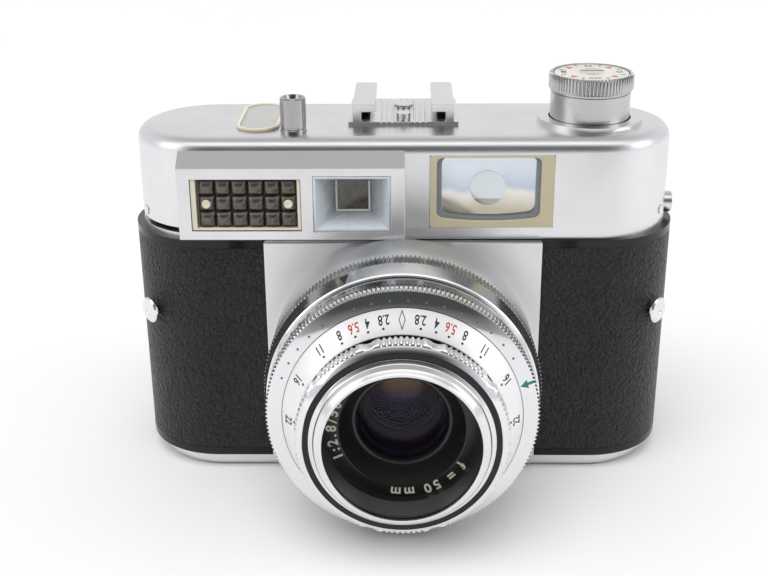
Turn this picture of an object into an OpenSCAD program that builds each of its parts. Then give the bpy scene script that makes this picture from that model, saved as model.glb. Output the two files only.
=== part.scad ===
// Mid-century 35 mm rangefinder camera with a leaf shutter, a coupled light meter and a pop-up rewind knob.
// Millimetres. +X is to the right seen from the front, the lens looks along -Y, +Z is up.
// The origin is the mouth of the tripod socket, in the middle of the base.

/* [Body] */
// Width over the leather
body_w = 124; // [118:0.5:150]
// Depth from the front leather to the back leather
body_d = 36.5; // [34:0.5:44]
// Height of the casting between the base plate and the top cover
cast_h = 54; // [53.5:0.5:66]
// Height of the base plate
base_h = 3.8; // [3.5:0.1:5]
// Height of the top cover
cover_h = 22.7; // [22:0.1:28]
// How far the body stands out past the cover and the base at each end
end_step = 1.75; // [1:0.05:2.2]
// How far the body stands out past the cover and the base at front and back
face_step = 1.0; // [0.6:0.05:1.3]
// Wall of the pressed top cover
cover_wall = 1.0; // [0.6:0.05:1.2]
// Radius of the top cover's upper edge
cover_round = 3.2; // [1.5:0.1:4.5]
// Radius of the base plate's lower edge
base_round = 2.4; // [0.6:0.1:2.6]
// Thickness of the leather
leather_t = 0.8; // [0.5:0.05:1.2]

/* [Film path] */
// Radius of the cassette chamber
cassette_r = 13; // [12.8:0.05:13.4]
// Radius of the take-up chamber
takeup_r = 11.2; // [9:0.1:11.6]
// Radius of the take-up spool's core
spool_r = 5.2; // [4:0.1:7]
// Width of the picture gate
gate_w = 36; // [24:1:36]
// Height of the picture gate
gate_h = 24; // [18:1:26]

/* [Lens] */
// Outer radius of the exposure ring, the largest ring
speed_ring_r = 29.6; // [28.2:0.1:30.6]
// Outer radius of the aperture ring
aperture_ring_r = 27.9; // [26:0.1:28]
// Large radius of the depth scale cone
scale_r = 24.9; // [24.2:0.1:25.6]
// Small radius of the depth scale cone
scale_tip_r = 22.3; // [21.6:0.1:22.8]
// Outer radius of the focusing ring over its grips
focus_ring_r = 22.9; // [21.5:0.1:24]
// Radius of the filter seat in the front bezel
filter_r = 15.9; // [15.5:0.05:16.4]
// Radius of the front glass
front_glass_r = 9.4; // [8:0.1:10.2]
// Distance from the body's front to the rim of the bezel
lens_len = 43.8; // [43:0.1:52]
// Width of the lens board
board_w = 61.5; // [60:0.5:64]
// Number of iris blades
iris_count = 5; // [5:1:5]
// Number of shutter blades
shutter_count = 3; // [3:1:3]

/* [Top controls] */
// Radius of the release button
release_r = 2.85; // [2.2:0.05:3.2]
// Height of the release button over the cover
release_h = 7.6; // [5:0.1:9]
// Radius of the rewind knob's knurled head
knob_r = 9.4; // [9:0.1:10.4]
// How far the rewind knob stands up when it is raised
knob_lift = 6; // [4:0.1:6.5]
// Inner width between the lips of the accessory shoe
shoe_gap = 12.6; // [12:0.1:13]
// Length of the accessory shoe
shoe_l = 22; // [18:0.5:24]
// Width of the viewfinder window
finder_w = 27.1; // [20:0.1:28]
// Height of the viewfinder window
finder_h = 16.4; // [12:0.1:16.6]
// Radius of the strap studs' discs
stud_r = 3; // [2:0.1:3.6]

/* [Fits] */
// Radial clearance of a running fit
run = 0.05; // [0.02:0.01:0.08]
// Clearance between parts that only pass each other
pass = 0.3; // [0.2:0.05:0.4]

/* [Hidden] */
$fn = 64;
eps = 0.01;

// Heights of the main seams
seam_z = base_h + cast_h;
top_z = seam_z + cover_h;

// The body's plan is a slot shape: straight sides and full round ends
end_x = (body_w - body_d) / 2;
front_y = -body_d / 2;
skin_w = body_w - 2 * leather_t;
skin_d = body_d - 2 * leather_t;
cover_w = body_w - 2 * end_step;
cover_d = body_d - 2 * face_step;
cover_end_x = (cover_w - cover_d) / 2;
cover_front_y = -cover_d / 2;
rim_h = 1.8;

// The back door takes everything behind this plane
door_y = 8;
door_gap = 0.3;
door_wall = 1.4;
hinge_r = 1.2;
hinge_pin_r = 0.6;
hinge_x = -(end_x + sqrt(pow(body_d / 2, 2) - pow(door_y, 2))) - 0.4;
hinge_y = door_y + door_gap / 2;
knuckle_z = base_h + 8;
knuckle_h = 8;

// Film chambers
chamber_z0 = base_h + 1.6;
chamber_z1 = seam_z - 4.8;
rewind_x = end_x - 1.75;
rewind_y = -1;
takeup_x = -(end_x + 1.25);
sprocket_x = takeup_x + takeup_r + 7.2;
sprocket_y = 4;
sprocket_r = 5.2;
tooth_r = 6;
film_y = door_y + 1.5;
plate_travel = 0.7;
lens_z = speed_ring_r + 0.4;
tunnel_w = gate_w + 4;
tunnel_h = gate_h + 4;

// Base flap
flap_x = 26.5;
flap_pin_z = 1.25;
flap_half_gap = 1.7;
base_wall = 1.0;
key_x = rewind_x;
key_r = 7;
bush_r = 6;
bush_h = 8;
thread_r = 2.55;
thread_l = 6.5;
counter_x = -20;
counter_r = 8.5;

// Top cover fittings
release_x = -24;
release_y = cover_front_y + 7.45;
release_bore_r = 1.6;
release_bore_l = 5;
release_travel = 2.5;
meter_x = -32.2;
meter_y = 1;
meter_w = 9.6;
meter_l = 24;
movement_y = 9;
finder_x = 19.4;
finder_z = seam_z + 10.9;
eyepiece_r = 6;
socket_r = 2.4;
socket_y = -1;
socket_z = seam_z + 3.4;
lever_pivot_x = -cover_end_x;
lever_z = seam_z + 1.3;
lever_t = 0.8;
lever_rest = 100;
lever_sweep = 135;
lever_hub_r = 4.6;
lever_shaft_r = 2;
shoe_w = 24.6;
shoe_y = 5.5;
collar_r = 11.7;
skirt_r = knob_r - 0.5;
head_z = top_z + 7.2;
knob_h = 3.8;
rewind_shaft_r = 2;
fork_r = 3.6;
fork_top_z = seam_z + 4.2;
stud_angle = 42;
stud_z = lens_z + 9;

// Meter housing and its two windows
hood_x0 = -48.6;
hood_x1 = 0.5;
hood_y = cover_front_y - 4.3;
hood_z0 = seam_z + 1.4;
hood_brow_z = top_z - 5.2;
hood_top_z = top_z - 2.4;
hood_wall = 1.2;
cell_x0 = -45.8;
cell_x1 = -21.9;
cell_z0 = seam_z + 3.4;
cell_z1 = seam_z + 15.1;
well_x0 = -19.3;
well_x1 = -2.5;
well_z0 = seam_z + 3.2;
well_z1 = seam_z + 15.8;
well_depth = 6;
eye_w = 7.5;
eye_h = 7;
eye_x = -10.9;
eye_z = seam_z + 9.7;

// Distances forward of the body's front along the lens axis
board_f = 1.2;
collar_f = 12.4;
speed_f0 = 12.8;
speed_f1 = 22.4;
aperture_f0 = 22.8;
aperture_f1 = 28.4;
scale_f0 = 28.6;
scale_f1 = lens_len - 7.0;
focus_f0 = lens_len - 6.6;
focus_f1 = lens_len - 3.2;
ring_in_r = focus_ring_r - 3;
bezel_r = ring_in_r - 1.3;
housing_r = speed_ring_r - 3.1;
sleeve_r = housing_r - 3.3;
barrel_r = 16;
thread_in_r = 14;
cell_r = 13.9;
name_r = filter_r - 0.1;
glass_f = lens_len - 13.2;
focus_travel = 1.6;
blade_t = 0.2;
blade_step = 0.32;
shutter_f0 = 5.2;
iris_f0 = 9.0;
iris_pivot_r = 21.5;
shutter_pivot = [17.6, -3.1];
blade_pin_r = 0.6;
blade_in_r = 9.6;
cell_stop_r = 9.5;

// ---- Shared shapes ----

// Plan of a slot shape, w long along X and d deep along Y
module slot_plan(w, d) {
    square([w - d, d], center = true);
    for (side = [-1, 1]) translate([side * (w - d) / 2, 0]) circle(d / 2);
}

module slot_block(w, d, z0, z1) {
    translate([0, 0, z0]) linear_extrude(z1 - z0) slot_plan(w, d);
}

// Upper edge of a rounded section: points of a quarter round
function round_edge(half, h, r) = [for (i = [0:6]) [half - r + r * cos(i * 15), h - r + r * sin(i * 15)]];

// Slot block that stands on z = 0, with a rounded upper edge
module soft_block(w, d, h, r) {
    edge = round_edge(d / 2, h, r);
    for (side = [0, 1]) mirror([side, 0, 0]) translate([(w - d) / 2, 0, 0])
        rotate_extrude() polygon(concat([[0, 0], [d / 2, 0]], edge, [[0, h]]));
    rotate([90, 0, 90]) translate([0, 0, -(w - d) / 2]) linear_extrude(w - d)
        polygon(concat([[-d / 2, 0], [d / 2, 0]], edge, [for (i = [6:-1:0]) [-edge[i][0], edge[i][1]]]));
}

module box(x0, x1, y0, y1, z0, z1) {
    translate([x0, y0, z0]) cube([x1 - x0, y1 - y0, z1 - z0]);
}

module pipe(r_out, r_in, h) {
    difference() {
        cylinder(r = r_out, h = h);
        translate([0, 0, -1]) cylinder(r = r_in, h = h + 2);
    }
}

// Moves the local Z axis onto the lens axis, counted forward from the body's front
module on_lens() {
    translate([0, front_y, lens_z]) rotate([90, 0, 0]) children();
}

// Ring on the lens axis with a profile of [radius, distance] points
module lens_ring(points) {
    on_lens() rotate_extrude() polygon(points);
}

module lens_pipe(r_out, r_in, f0, f1) {
    on_lens() translate([0, 0, f0]) pipe(r_out, r_in, f1 - f0);
}

// ---- Body ----

// One hinge barrel of the back door, with the web that carries it
module knuckle(z0, h, y0, y1) {
    difference() {
        union() {
            translate([hinge_x, hinge_y, z0]) cylinder(r = hinge_r, h = h);
            box(hinge_x, hinge_x + 2.6, y0, y1, z0, z0 + h);
        }
        translate([hinge_x, hinge_y, z0 - 1]) cylinder(r = hinge_pin_r + run, h = h + 2);
    }
}

// Die casting: front, ends, chambers and the shaft holes
module body_casting() color("#1b1b1c") {
    difference() {
        union() {
            slot_block(skin_w, skin_d, base_h, seam_z);
            slot_block(body_w, body_d, base_h, base_h + rim_h);
            slot_block(body_w, body_d, seam_z - rim_h, seam_z);
        }
        box(-body_w, body_w, door_y, body_d, base_h - 1, seam_z - rim_h);
        box(-board_w / 2, board_w / 2, -body_d, -skin_d / 2, 0, seam_z + 1);
        box(hinge_x - 2, hinge_x + 2.2, door_y - 2, body_d, base_h - 1, seam_z - rim_h);
        translate([rewind_x, rewind_y, base_h - 1]) cylinder(r = cassette_r, h = chamber_z1 - base_h + 1);
        box(rewind_x - cassette_r, rewind_x + cassette_r, rewind_y, body_d, base_h - 1, chamber_z1);
        translate([takeup_x, 0, chamber_z0]) cylinder(r = takeup_r, h = chamber_z1 - chamber_z0);
        box(takeup_x - takeup_r, takeup_x + takeup_r, 0, body_d, chamber_z0, chamber_z1);
        translate([sprocket_x, sprocket_y, chamber_z0]) cylinder(r = tooth_r + pass, h = chamber_z1 - chamber_z0);
        box(sprocket_x - tooth_r - pass, sprocket_x + tooth_r + pass, sprocket_y, body_d, chamber_z0, chamber_z1);
        box(-tunnel_w / 2, tunnel_w / 2, -8, door_y + 1, lens_z - tunnel_h / 2, lens_z + tunnel_h / 2);
        on_lens() translate([0, 0, -13]) cylinder(r = cell_stop_r + 3, h = 20);
        for (z = [base_h - 1, chamber_z1 - 1]) {
            translate([takeup_x, 0, z]) cylinder(r = lever_shaft_r + run, h = 2.6);
            translate([sprocket_x, sprocket_y, z]) cylinder(r = lever_shaft_r + run, h = 2.6);
        }
        translate([lever_pivot_x, 0, seam_z - 2]) cylinder(r = lever_shaft_r + run, h = 3);
        translate([rewind_x, rewind_y, chamber_z1 - 1]) cylinder(r = fork_r + run, h = 7);
        translate([0, 0, base_h - 1]) cylinder(r = bush_r, h = bush_h - base_h + 1);
        translate([counter_x, 0, base_h - 1]) cylinder(r = 1, h = 6);
    }
    for (z = [knuckle_z - knuckle_h / 2, lens_z, seam_z - 8 - knuckle_h / 2])
        knuckle(z - 3.4, 6.8, door_y - 2, door_y - 0.2);
}

// Leather wrap over the skin, between two heights
module leather_wrap() {
    difference() {
        slot_block(body_w, body_d, base_h + rim_h, seam_z - rim_h);
        slot_block(skin_w, skin_d, base_h, seam_z);
    }
}

module front_leather_left() color("#161617") intersection() {
    leather_wrap();
    box(-body_w, -board_w / 2 - 0.1, -body_d, -5, 0, top_z);
}

module front_leather_right() color("#161617") intersection() {
    leather_wrap();
    box(board_w / 2 + 0.1, body_w, -body_d, door_y - 0.2, 0, top_z);
}

// Strap studs: a disc on a short post at each end of the body
module strap_studs() color("#c9c6bf") for (side = [0, 1]) mirror([side, 0, 0])
    translate([end_x, 0, stud_z]) rotate([0, 0, -stud_angle]) rotate([0, 90, 0]) {
        translate([0, 0, body_d / 2]) cylinder(r = 1.6, h = 0.9);
        translate([0, 0, body_d / 2 + 0.9]) cylinder(r = stud_r, h = 1.0);
    }

// Front plate that carries the lens
module lens_board() color("#c4c5c7") difference() {
    box(-board_w / 2, board_w / 2, front_y - board_f, -skin_d / 2, base_h + 0.1, seam_z - 0.1);
    on_lens() translate([0, 0, -2]) cylinder(r = barrel_r + 2, h = 5);
}

// Black baffle box between the shutter and the picture gate
module light_tunnel() color("#141414") difference() {
    box(-tunnel_w / 2, tunnel_w / 2, -8, door_y - eps, lens_z - tunnel_h / 2, lens_z + tunnel_h / 2);
    for (i = [0:3]) {
        cut_w = gate_w - 3 * (3 - i) - 0.5;
        cut_h = gate_h - 2 * (3 - i) - 0.5;
        box(-cut_w / 2, cut_w / 2, -9 + 4 * i, -4.5 + 4 * i + 1, lens_z - cut_h / 2, lens_z + cut_h / 2);
    }
}

// Picture gate: a plate with the opening and two film rails
module film_gate() color("#8e8f91") {
    x1 = gate_w / 2 + 1.6;
    difference() {
        union() {
            box(-x1, x1, door_y, door_y + 0.8, lens_z - 18, lens_z + 18);
            for (z = [lens_z - 14.6, lens_z + 12.6]) box(-x1, x1, door_y, film_y, z, z + 2);
        }
        box(-gate_w / 2, gate_w / 2, 0, body_d, lens_z - gate_h / 2, lens_z + gate_h / 2);
    }
}

module tripod_bush() color("#9a9a98") difference() {
    cylinder(r = bush_r, h = bush_h);
    translate([0, 0, -1]) cylinder(r = thread_r, h = thread_l + 1);
}

// ---- Base ----

// Shallow tray with a rounded lower edge
module base_tray() difference() {
    translate([0, 0, base_h]) mirror([0, 0, 1])
        soft_block(cover_w, cover_d, base_h, base_round);
    slot_block(cover_w - 2.4, cover_d - 2.4, base_wall, base_h + 1);
}

// Barrels of the flap hinge at a list of [y0, y1] spans, with webs towards web_x
module flap_barrels(spans, web_x) {
    for (s = spans) difference() {
        union() {
            translate([flap_x, s[0], flap_pin_z]) rotate([-90, 0, 0]) cylinder(r = 1.2, h = s[1] - s[0]);
            box(min(flap_x, web_x), max(flap_x, web_x), s[0], s[1], flap_pin_z - 0.6, flap_pin_z + 0.6);
        }
        translate([flap_x, s[0] - 1, flap_pin_z]) rotate([-90, 0, 0])
            cylinder(r = hinge_pin_r + run, h = s[1] - s[0] + 2);
    }
}

module base_plate() color("#c2c3c5") {
    difference() {
        base_tray();
        box(flap_x - flap_half_gap, body_w, -body_d, body_d, -1, base_h + 1);
        translate([0, 0, -1]) cylinder(r = bush_r + 0.1, h = base_h + 2);
        translate([counter_x, -6, -1]) cylinder(r = 1.8, h = 3);
    }
    flap_barrels([[-15, -9.3], [-2.7, 2.7], [9.3, 15]], flap_x - flap_half_gap - 0.5);
}

module base_flap() color("#c2c3c5") {
    difference() {
        base_tray();
        box(-body_w, flap_x + flap_half_gap, -body_d, body_d, -1, base_h + 1);
        translate([key_x, 0, -1]) cylinder(r = key_r + 0.1, h = base_h + 2);
    }
    flap_barrels([[-9, -3], [3, 9]], flap_x + flap_half_gap + 0.5);
    translate([key_x, 0, 0.6]) pipe(key_r + 1.2, key_r + 0.1, 1.8);
    translate([key_x, 0, 1.7]) pipe(key_r + 1, 2 + run, 0.7);
}

// Turning key in the flap, flush with the base
module latch_key() color("#aeb0b2") translate([key_x, 0, 0]) {
    difference() {
        translate([0, 0, 0.3]) cylinder(r = key_r - 0.2, h = 1.3 - eps);
        for (side = [-1, 1]) translate([side * 3.6, 0, 0]) cylinder(r = 2, h = 1);
    }
    translate([0, 0, 1.5]) cylinder(r = 2, h = 1.4);
}

module counter_dial() color("#e3e0d4") translate([counter_x, 0, base_wall + 0.3]) {
    cylinder(r = counter_r, h = 0.8);
    cylinder(r = 1 - run, h = 5);
}

// Steel pins of the back door's hinge and the flap's hinge
module hinge_pins() color("#b5b6b8") {
    translate([hinge_x, hinge_y, base_h + 3]) cylinder(r = hinge_pin_r, h = cast_h - 6);
    translate([flap_x, -15, flap_pin_z]) rotate([-90, 0, 0]) cylinder(r = hinge_pin_r, h = 30);
}

// ---- Back ----

module back_door() color("#1b1b1c") {
    z0 = base_h + 0.3;
    z1 = seam_z - rim_h - 0.3;
    difference() {
        slot_block(skin_w, skin_d, z0, z1);
        box(-body_w, body_w, -body_d, door_y + door_gap, 0, top_z);
        box(-body_w, hinge_x + 1.6, -body_d, door_y + 2, 0, top_z);
        slot_block(skin_w - 2 * door_wall, skin_d - 2 * door_wall, z0 + 1, z1 - 1);
        box(-22, 22, 0, film_y + pass, z0 - 1, z1 + 1);
    }
    for (z = [knuckle_z + 5, seam_z - 8 - knuckle_h / 2 - 10.5])
        knuckle(z, 6.6, hinge_y, hinge_y + 1.1);
}

module door_leather() color("#161617") intersection() {
    leather_wrap();
    box(hinge_x + 3, body_w, door_y + door_gap, body_d, base_h + rim_h, top_z);
}

// Film pressure plate with the stub of its spring seat
module pressure_plate() color("#2c2d30") {
    z0 = lens_z - 17;
    box(-gate_w / 2 - 1, gate_w / 2 + 1, film_y + 0.4, film_y + 1.4, z0, z0 + 34);
    box(-9, 9, film_y + 1.4, skin_d / 2 - door_wall - plate_travel - 0.1, lens_z - 3, lens_z + 3);
}

module takeup_spool() color("#262628") translate([takeup_x, 0, 0]) {
    z0 = chamber_z0 + 0.4;
    z1 = chamber_z1 - 0.4;
    difference() {
        translate([0, 0, z0]) cylinder(r = spool_r, h = z1 - z0);
        box(-0.8, 0.8, -spool_r - 1, 0, lens_z - 12, lens_z + 12);
    }
    for (z = [z0, z1 - 1.2]) translate([0, 0, z]) pipe(takeup_r - 1.2, spool_r - eps, 1.2);
    translate([0, 0, base_h + 0.4]) cylinder(r = lever_shaft_r, h = z0 - base_h - 0.4);
    translate([0, 0, z1]) cylinder(r = lever_shaft_r, h = 1.2);
}

// Shaft with two toothed wheels that take the film by its holes
module film_sprocket() color("#9fa1a4") translate([sprocket_x, sprocket_y, 0]) {
    z0 = chamber_z0 + 0.4;
    z1 = chamber_z1 - 0.4;
    translate([0, 0, base_h + 0.4]) cylinder(r = lever_shaft_r, h = z1 + 1.2 - base_h - 0.4);
    for (z = [lens_z - 17.5, lens_z + 13.5]) translate([0, 0, z]) {
        cylinder(r = sprocket_r, h = 4);
        for (i = [0:7]) rotate([0, 0, i * 45]) box(0, tooth_r, -0.6, 0.6, 1.4, 2.6);
    }
}

// ---- Top ----

// Pressed cover with all its openings and the raised collar of the rewind knob
module top_cover() color("#c6c7c9") difference() {
    union() {
        translate([0, 0, seam_z]) soft_block(cover_w, cover_d, cover_h, cover_round);
        translate([rewind_x, rewind_y, top_z - 1]) cylinder(r = collar_r, h = 2);
    }
    translate([0, 0, seam_z - eps]) soft_block(cover_w - 2 * cover_wall, cover_d - 2 * cover_wall,
        cover_h - cover_wall, max(cover_round - cover_wall, 0.5));
    translate([rewind_x, rewind_y, top_z - 3]) cylinder(r = skirt_r + pass, h = 6);
    translate([release_x, release_y, top_z - 3]) cylinder(r = release_r + run, h = 6);
    translate([meter_x, meter_y, 0]) rotate([0, 0, 90])
        slot_block(meter_l - 2, meter_w - 2, top_z - 3, top_z + 3);
    box(finder_x - finder_w / 2, finder_x + finder_w / 2, -body_d, -cover_d / 2 + 3,
        finder_z - finder_h / 2, finder_z + finder_h / 2);
    box(hood_x0 + 2.4, hood_x1 - hood_wall, -body_d, -cover_d / 2 + 3, hood_z0 + hood_wall, hood_brow_z);
    translate([finder_x, 0, finder_z]) rotate([-90, 0, 0]) cylinder(r = eyepiece_r - 1, h = body_d);
    lever_slot();
    translate([cover_w / 2 - 3, socket_y, socket_z]) rotate([0, 90, 0]) cylinder(r = socket_r, h = 6);
    cover_screw_places() translate([0, 0, cover_d / 2 - 3]) cylinder(r = 0.8, h = 6);
}

// Places the local Z axis on the two screws in the cover's ends
module cover_screw_places() {
    for (side = [0, 1]) mirror([side, 0, 0])
        translate([cover_end_x, 0, seam_z + 4]) rotate([0, 0, -29]) rotate([0, 90, 0]) children();
}

// Slit that the advance lever swings in, round the end and along the back
module lever_slot() {
    z0 = lever_z - 0.2;
    slot_h = lever_t + 0.4;
    intersection() {
        box(-body_w, lever_pivot_x + 12, -body_d, body_d, z0, z0 + slot_h);
        translate([lever_pivot_x, 0, z0]) linear_extrude(slot_h) polygon(concat([[0, 0]],
            [for (i = [0:24]) let (a = lever_rest - 14 + i * (lever_sweep + 28) / 24) 40 * [cos(a), sin(a)]]));
        translate([0, 0, z0]) linear_extrude(slot_h) difference() {
            slot_plan(cover_w + 2, cover_d + 2);
            slot_plan(cover_w - 2 * cover_wall - 1, cover_d - 2 * cover_wall - 1);
        }
    }
}

// Two round-headed screws in the cover's ends
module cover_screws() color("#a9aaac") cover_screw_places() {
    translate([0, 0, cover_d / 2]) cylinder(r = 1.4, h = 0.5);
    translate([0, 0, cover_d / 2 - cover_wall - 1]) cylinder(r = 0.8, h = cover_wall + 1);
}

// Hood over the light cell and the rangefinder window, with its slanted brow
module meter_housing() color("#c9cacc") difference() {
    rotate([90, 0, 90]) translate([0, 0, hood_x0]) linear_extrude(hood_x1 - hood_x0) polygon([
        [cover_front_y, hood_top_z], [hood_y, hood_brow_z], [hood_y, hood_z0], [cover_front_y, hood_z0]]);
    rotate([90, 0, 90]) translate([0, 0, hood_x0 + hood_wall])
        linear_extrude(hood_x1 - hood_x0 - 2 * hood_wall) polygon([
        [cover_front_y + 1, hood_brow_z - 0.4], [hood_y + hood_wall, hood_brow_z - 0.4],
        [hood_y + hood_wall, hood_z0 + hood_wall], [cover_front_y + 1, hood_z0 + hood_wall]]);
    translate([0, 0, 0]) slot_block(cover_w, cover_d, 0, top_z);
    box(cell_x0, cell_x1, -body_d, hood_y + 3, cell_z0, cell_z1);
    box(well_x0, well_x1, -body_d, hood_y + 3, well_z0, well_z1);
}

// Light cell behind its honeycomb of small lenses
module selenium_cell() color("#4a4038") {
    w = cell_x1 - cell_x0;
    h = cell_z1 - cell_z0;
    box(cell_x0 + 0.1, cell_x1 - 0.1, hood_y + 0.7, hood_y + 2.9, cell_z0 + 0.1, cell_z1 - 0.1);
    for (i = [0:5]) for (j = [0:2])
        translate([cell_x0 + w * (i + 0.5) / 6, hood_y + 0.7, cell_z0 + h * (j + 0.5) / 3])
            rotate([90, 0, 0]) cylinder(r1 = 1.85, r2 = 1.0, h = 0.5);
}

// Bright pyramid-shaped well in front of the rangefinder window
module rangefinder_well() color("#d3d5d8") difference() {
    box(well_x0 + 0.05, well_x1 - 0.05, hood_y + 0.1, hood_y + well_depth, well_z0 + 0.05, well_z1 - 0.05);
    hull() {
        box(well_x0 + 0.7, well_x1 - 0.7, hood_y - 0.2, hood_y + 0.1, well_z0 + 0.7, well_z1 - 0.7);
        box(eye_x - eye_w / 2, eye_x + eye_w / 2, hood_y + well_depth, hood_y + well_depth + 0.1,
            eye_z - eye_h / 2, eye_z + eye_h / 2);
    }
}

module rangefinder_window() color("#30281e") box(eye_x - eye_w / 2 - 1, eye_x + eye_w / 2 + 1,
    hood_y + well_depth, hood_y + well_depth + 1, eye_z - eye_h / 2 - 1, eye_z + eye_h / 2 + 1);

// Swinging mirror behind the small window, on its own spindle
module rangefinder_mirror() color("#b9c4cc") translate([eye_x, -8, 0]) {
    rotate([0, 0, 45]) box(-5, 5, -0.6, 0.6, eye_z - 4.5, eye_z + 4.5);
    translate([0, 0, seam_z + 0.4]) cylinder(r = 1.2, h = eye_z - 4 - seam_z - 0.4);
}

// Cream mask of the viewfinder window
module viewfinder_frame() color("#cfc5a4") difference() {
    box(finder_x - finder_w / 2 + 0.05, finder_x + finder_w / 2 - 0.05, cover_front_y - 0.3,
        cover_front_y + 1.6, finder_z - finder_h / 2 + 0.05, finder_z + finder_h / 2 - 0.05);
    box(finder_x - finder_w / 2 + 3, finder_x + finder_w / 2 - 3, cover_front_y - 1,
        cover_front_y + 3, finder_z - finder_h / 2 + 1.8, finder_z + finder_h / 2 - 1.4);
}

module viewfinder_lens() color("#b9c9d6") box(finder_x - finder_w / 2 + 1.4, finder_x + finder_w / 2 - 1.4,
    cover_front_y + 1.6, cover_front_y + 3.4, finder_z - finder_h / 2 + 1, finder_z + finder_h / 2 - 1);

// Half-silvered block that joins the rangefinder image to the finder
module beam_splitter() color("#a7b6bd") box(finder_x - 7, finder_x + 7, -4, 8, seam_z, finder_z + 7);

module eyepiece() color("#2a2a2c") translate([finder_x, 0, finder_z]) rotate([-90, 0, 0])
    difference() {
        union() {
            translate([0, 0, cover_d / 2]) cylinder(r = eyepiece_r, h = 1.8);
            translate([0, 0, cover_d / 2 - 4]) cylinder(r = eyepiece_r - 1, h = 4);
        }
        translate([0, 0, cover_d / 2 - 5]) cylinder(r = eyepiece_r - 2, h = 8);
    }

module eyepiece_lens() color("#9db1bd") translate([finder_x, 0, finder_z]) rotate([-90, 0, 0])
    translate([0, 0, cover_d / 2 - 2]) cylinder(r = eyepiece_r - 2, h = 2);

// Moving-coil drum with its scale plate and needle spindle
module meter_movement() color("#7c7466") translate([meter_x, movement_y, 0]) {
    plate_z = top_z - 6.6;
    drum_z = lever_z + lever_t + 1.2;
    translate([0, 0, drum_z]) cylinder(r = 6, h = plate_z - drum_z);
    box(1.5, 5, -1, 4, seam_z, drum_z);
    translate([0, 0, plate_z]) cylinder(r = 0.5, h = 4.6);
    box(-meter_w / 2, meter_w / 2 - 1.3, meter_y - movement_y - meter_l / 2 + 1, -1, plate_z, plate_z + 0.4);
}

// Flat pointer on the movement's spindle, reaching towards the front
module pointer(z, reach) {
    difference() {
        union() {
            translate([0, 0, z]) cylinder(r = 1.5, h = 0.5);
            box(-0.25, 0.25, -reach, 0, z, z + 0.3);
            children();
        }
        translate([0, 0, z - 1]) cylinder(r = 0.5 + run, h = 3);
    }
}

module meter_needle() color("#c03a1c") translate([meter_x, movement_y, 0]) pointer(top_z - 5.4, 15);

// Pointer with a ring, which is set to meet the needle
module follow_pointer() color("#222222") translate([meter_x, movement_y, 0])
    pointer(top_z - 4, 10.2) translate([0, -12, top_z - 4]) pipe(1.9, 1.4, 0.3);

module meter_window() color("#dcd6c0") translate([meter_x, meter_y, 0]) rotate([0, 0, 90]) {
    difference() {
        slot_block(meter_l, meter_w, top_z, top_z + 0.7);
        slot_block(meter_l - 1.6, meter_w - 1.6, top_z - 1, top_z + 2);
    }
    slot_block(meter_l - 2.1, meter_w - 2.1, top_z - 0.8, top_z);
    slot_block(meter_l - 1.6, meter_w - 1.6, top_z, top_z + 0.4);
}

// Shoe: base, two rails with lips, and a stop stud in the middle
module accessory_shoe() color("#c8c9cb") translate([0.15, shoe_y - shoe_l / 2, top_z]) {
    difference() {
        union() {
            box(-shoe_w / 2, shoe_w / 2, 0, shoe_l, 0, 0.8);
            for (side = [0, 1]) mirror([side, 0, 0]) {
                box(shoe_gap / 2 + 3.1, shoe_gap / 2 + 5, 0, shoe_l, 0.8, 4.7);
                box(shoe_gap / 2, shoe_gap / 2 + 3.1, 0, shoe_l, 3, 4.7);
            }
        }
        for (x = [-5:1.25:5]) box(x - 0.2, x + 0.2, -1, shoe_l + 1, 0.6, 1);
    }
    translate([0, 3.4, 0.8]) cylinder(r = 1.6, h = 1.3);
    translate([0, 15, 0.8]) cylinder(r = 2.2, h = 0.5);
}

module flash_socket() color("#c9cacc") translate([cover_w / 2 - 0.6, socket_y, socket_z])
    rotate([0, 90, 0]) difference() {
        cylinder(r = socket_r, h = 2.2);
        translate([0, 0, 0.8]) cylinder(r = socket_r - 1, h = 3);
    }

module release_button() color("#b9babc") translate([release_x, release_y, 0]) difference() {
    union() {
        translate([0, 0, top_z - 6.5]) cylinder(r = release_r, h = 6.5 + release_h);
        translate([0, 0, top_z - 6.5]) cylinder(r = release_r + 1.2, h = 2);
        translate([0, 0, seam_z + release_travel + 1]) cylinder(r = 1, h = top_z - 6.5 - seam_z - release_travel - 1);
    }
    translate([0, 0, top_z + release_h - release_bore_l]) cylinder(r = release_bore_r, h = release_bore_l + 1);
}

// Thin lever that comes out of the cover's slit and ends in a thumb piece
module advance_lever() color("#c0c1c3") translate([lever_pivot_x, 0, 0]) {
    translate([0, 0, lever_z - 0.6]) cylinder(r = lever_hub_r, h = 2);
    translate([0, 0, seam_z - 1.8]) cylinder(r = lever_shaft_r, h = 1.8 + lever_z - 0.6 - seam_z);
    rotate([0, 0, lever_rest]) {
        box(lever_hub_r - 1, cover_d / 2 + 2.2, -3, 3, lever_z, lever_z + lever_t);
        translate([0, 0, seam_z + 0.3]) linear_extrude(4.6) intersection() {
            difference() {
                circle(cover_d / 2 + 3.6);
                circle(cover_d / 2 + 1.4);
            }
            polygon([[0, 0], [60, -16], [60, 14]]);
        }
    }
}

// Keyed sleeve with the fork that grips the cassette's spool
module rewind_fork() color("#a5a6a8") translate([rewind_x, rewind_y, 0]) {
    difference() {
        union() {
            translate([0, 0, chamber_z1 - 1]) cylinder(r = fork_r, h = fork_top_z - chamber_z1 + 1);
            translate([0, 0, seam_z + 0.1]) cylinder(r = fork_r + 1.6, h = 1);
        }
        translate([0, 0, chamber_z1]) cylinder(r = rewind_shaft_r + run, h = fork_top_z - chamber_z1 + 1);
    }
    box(-2.6, 2.6, -0.7, 0.7, chamber_z1 - 5, chamber_z1 - 1);
}

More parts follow.
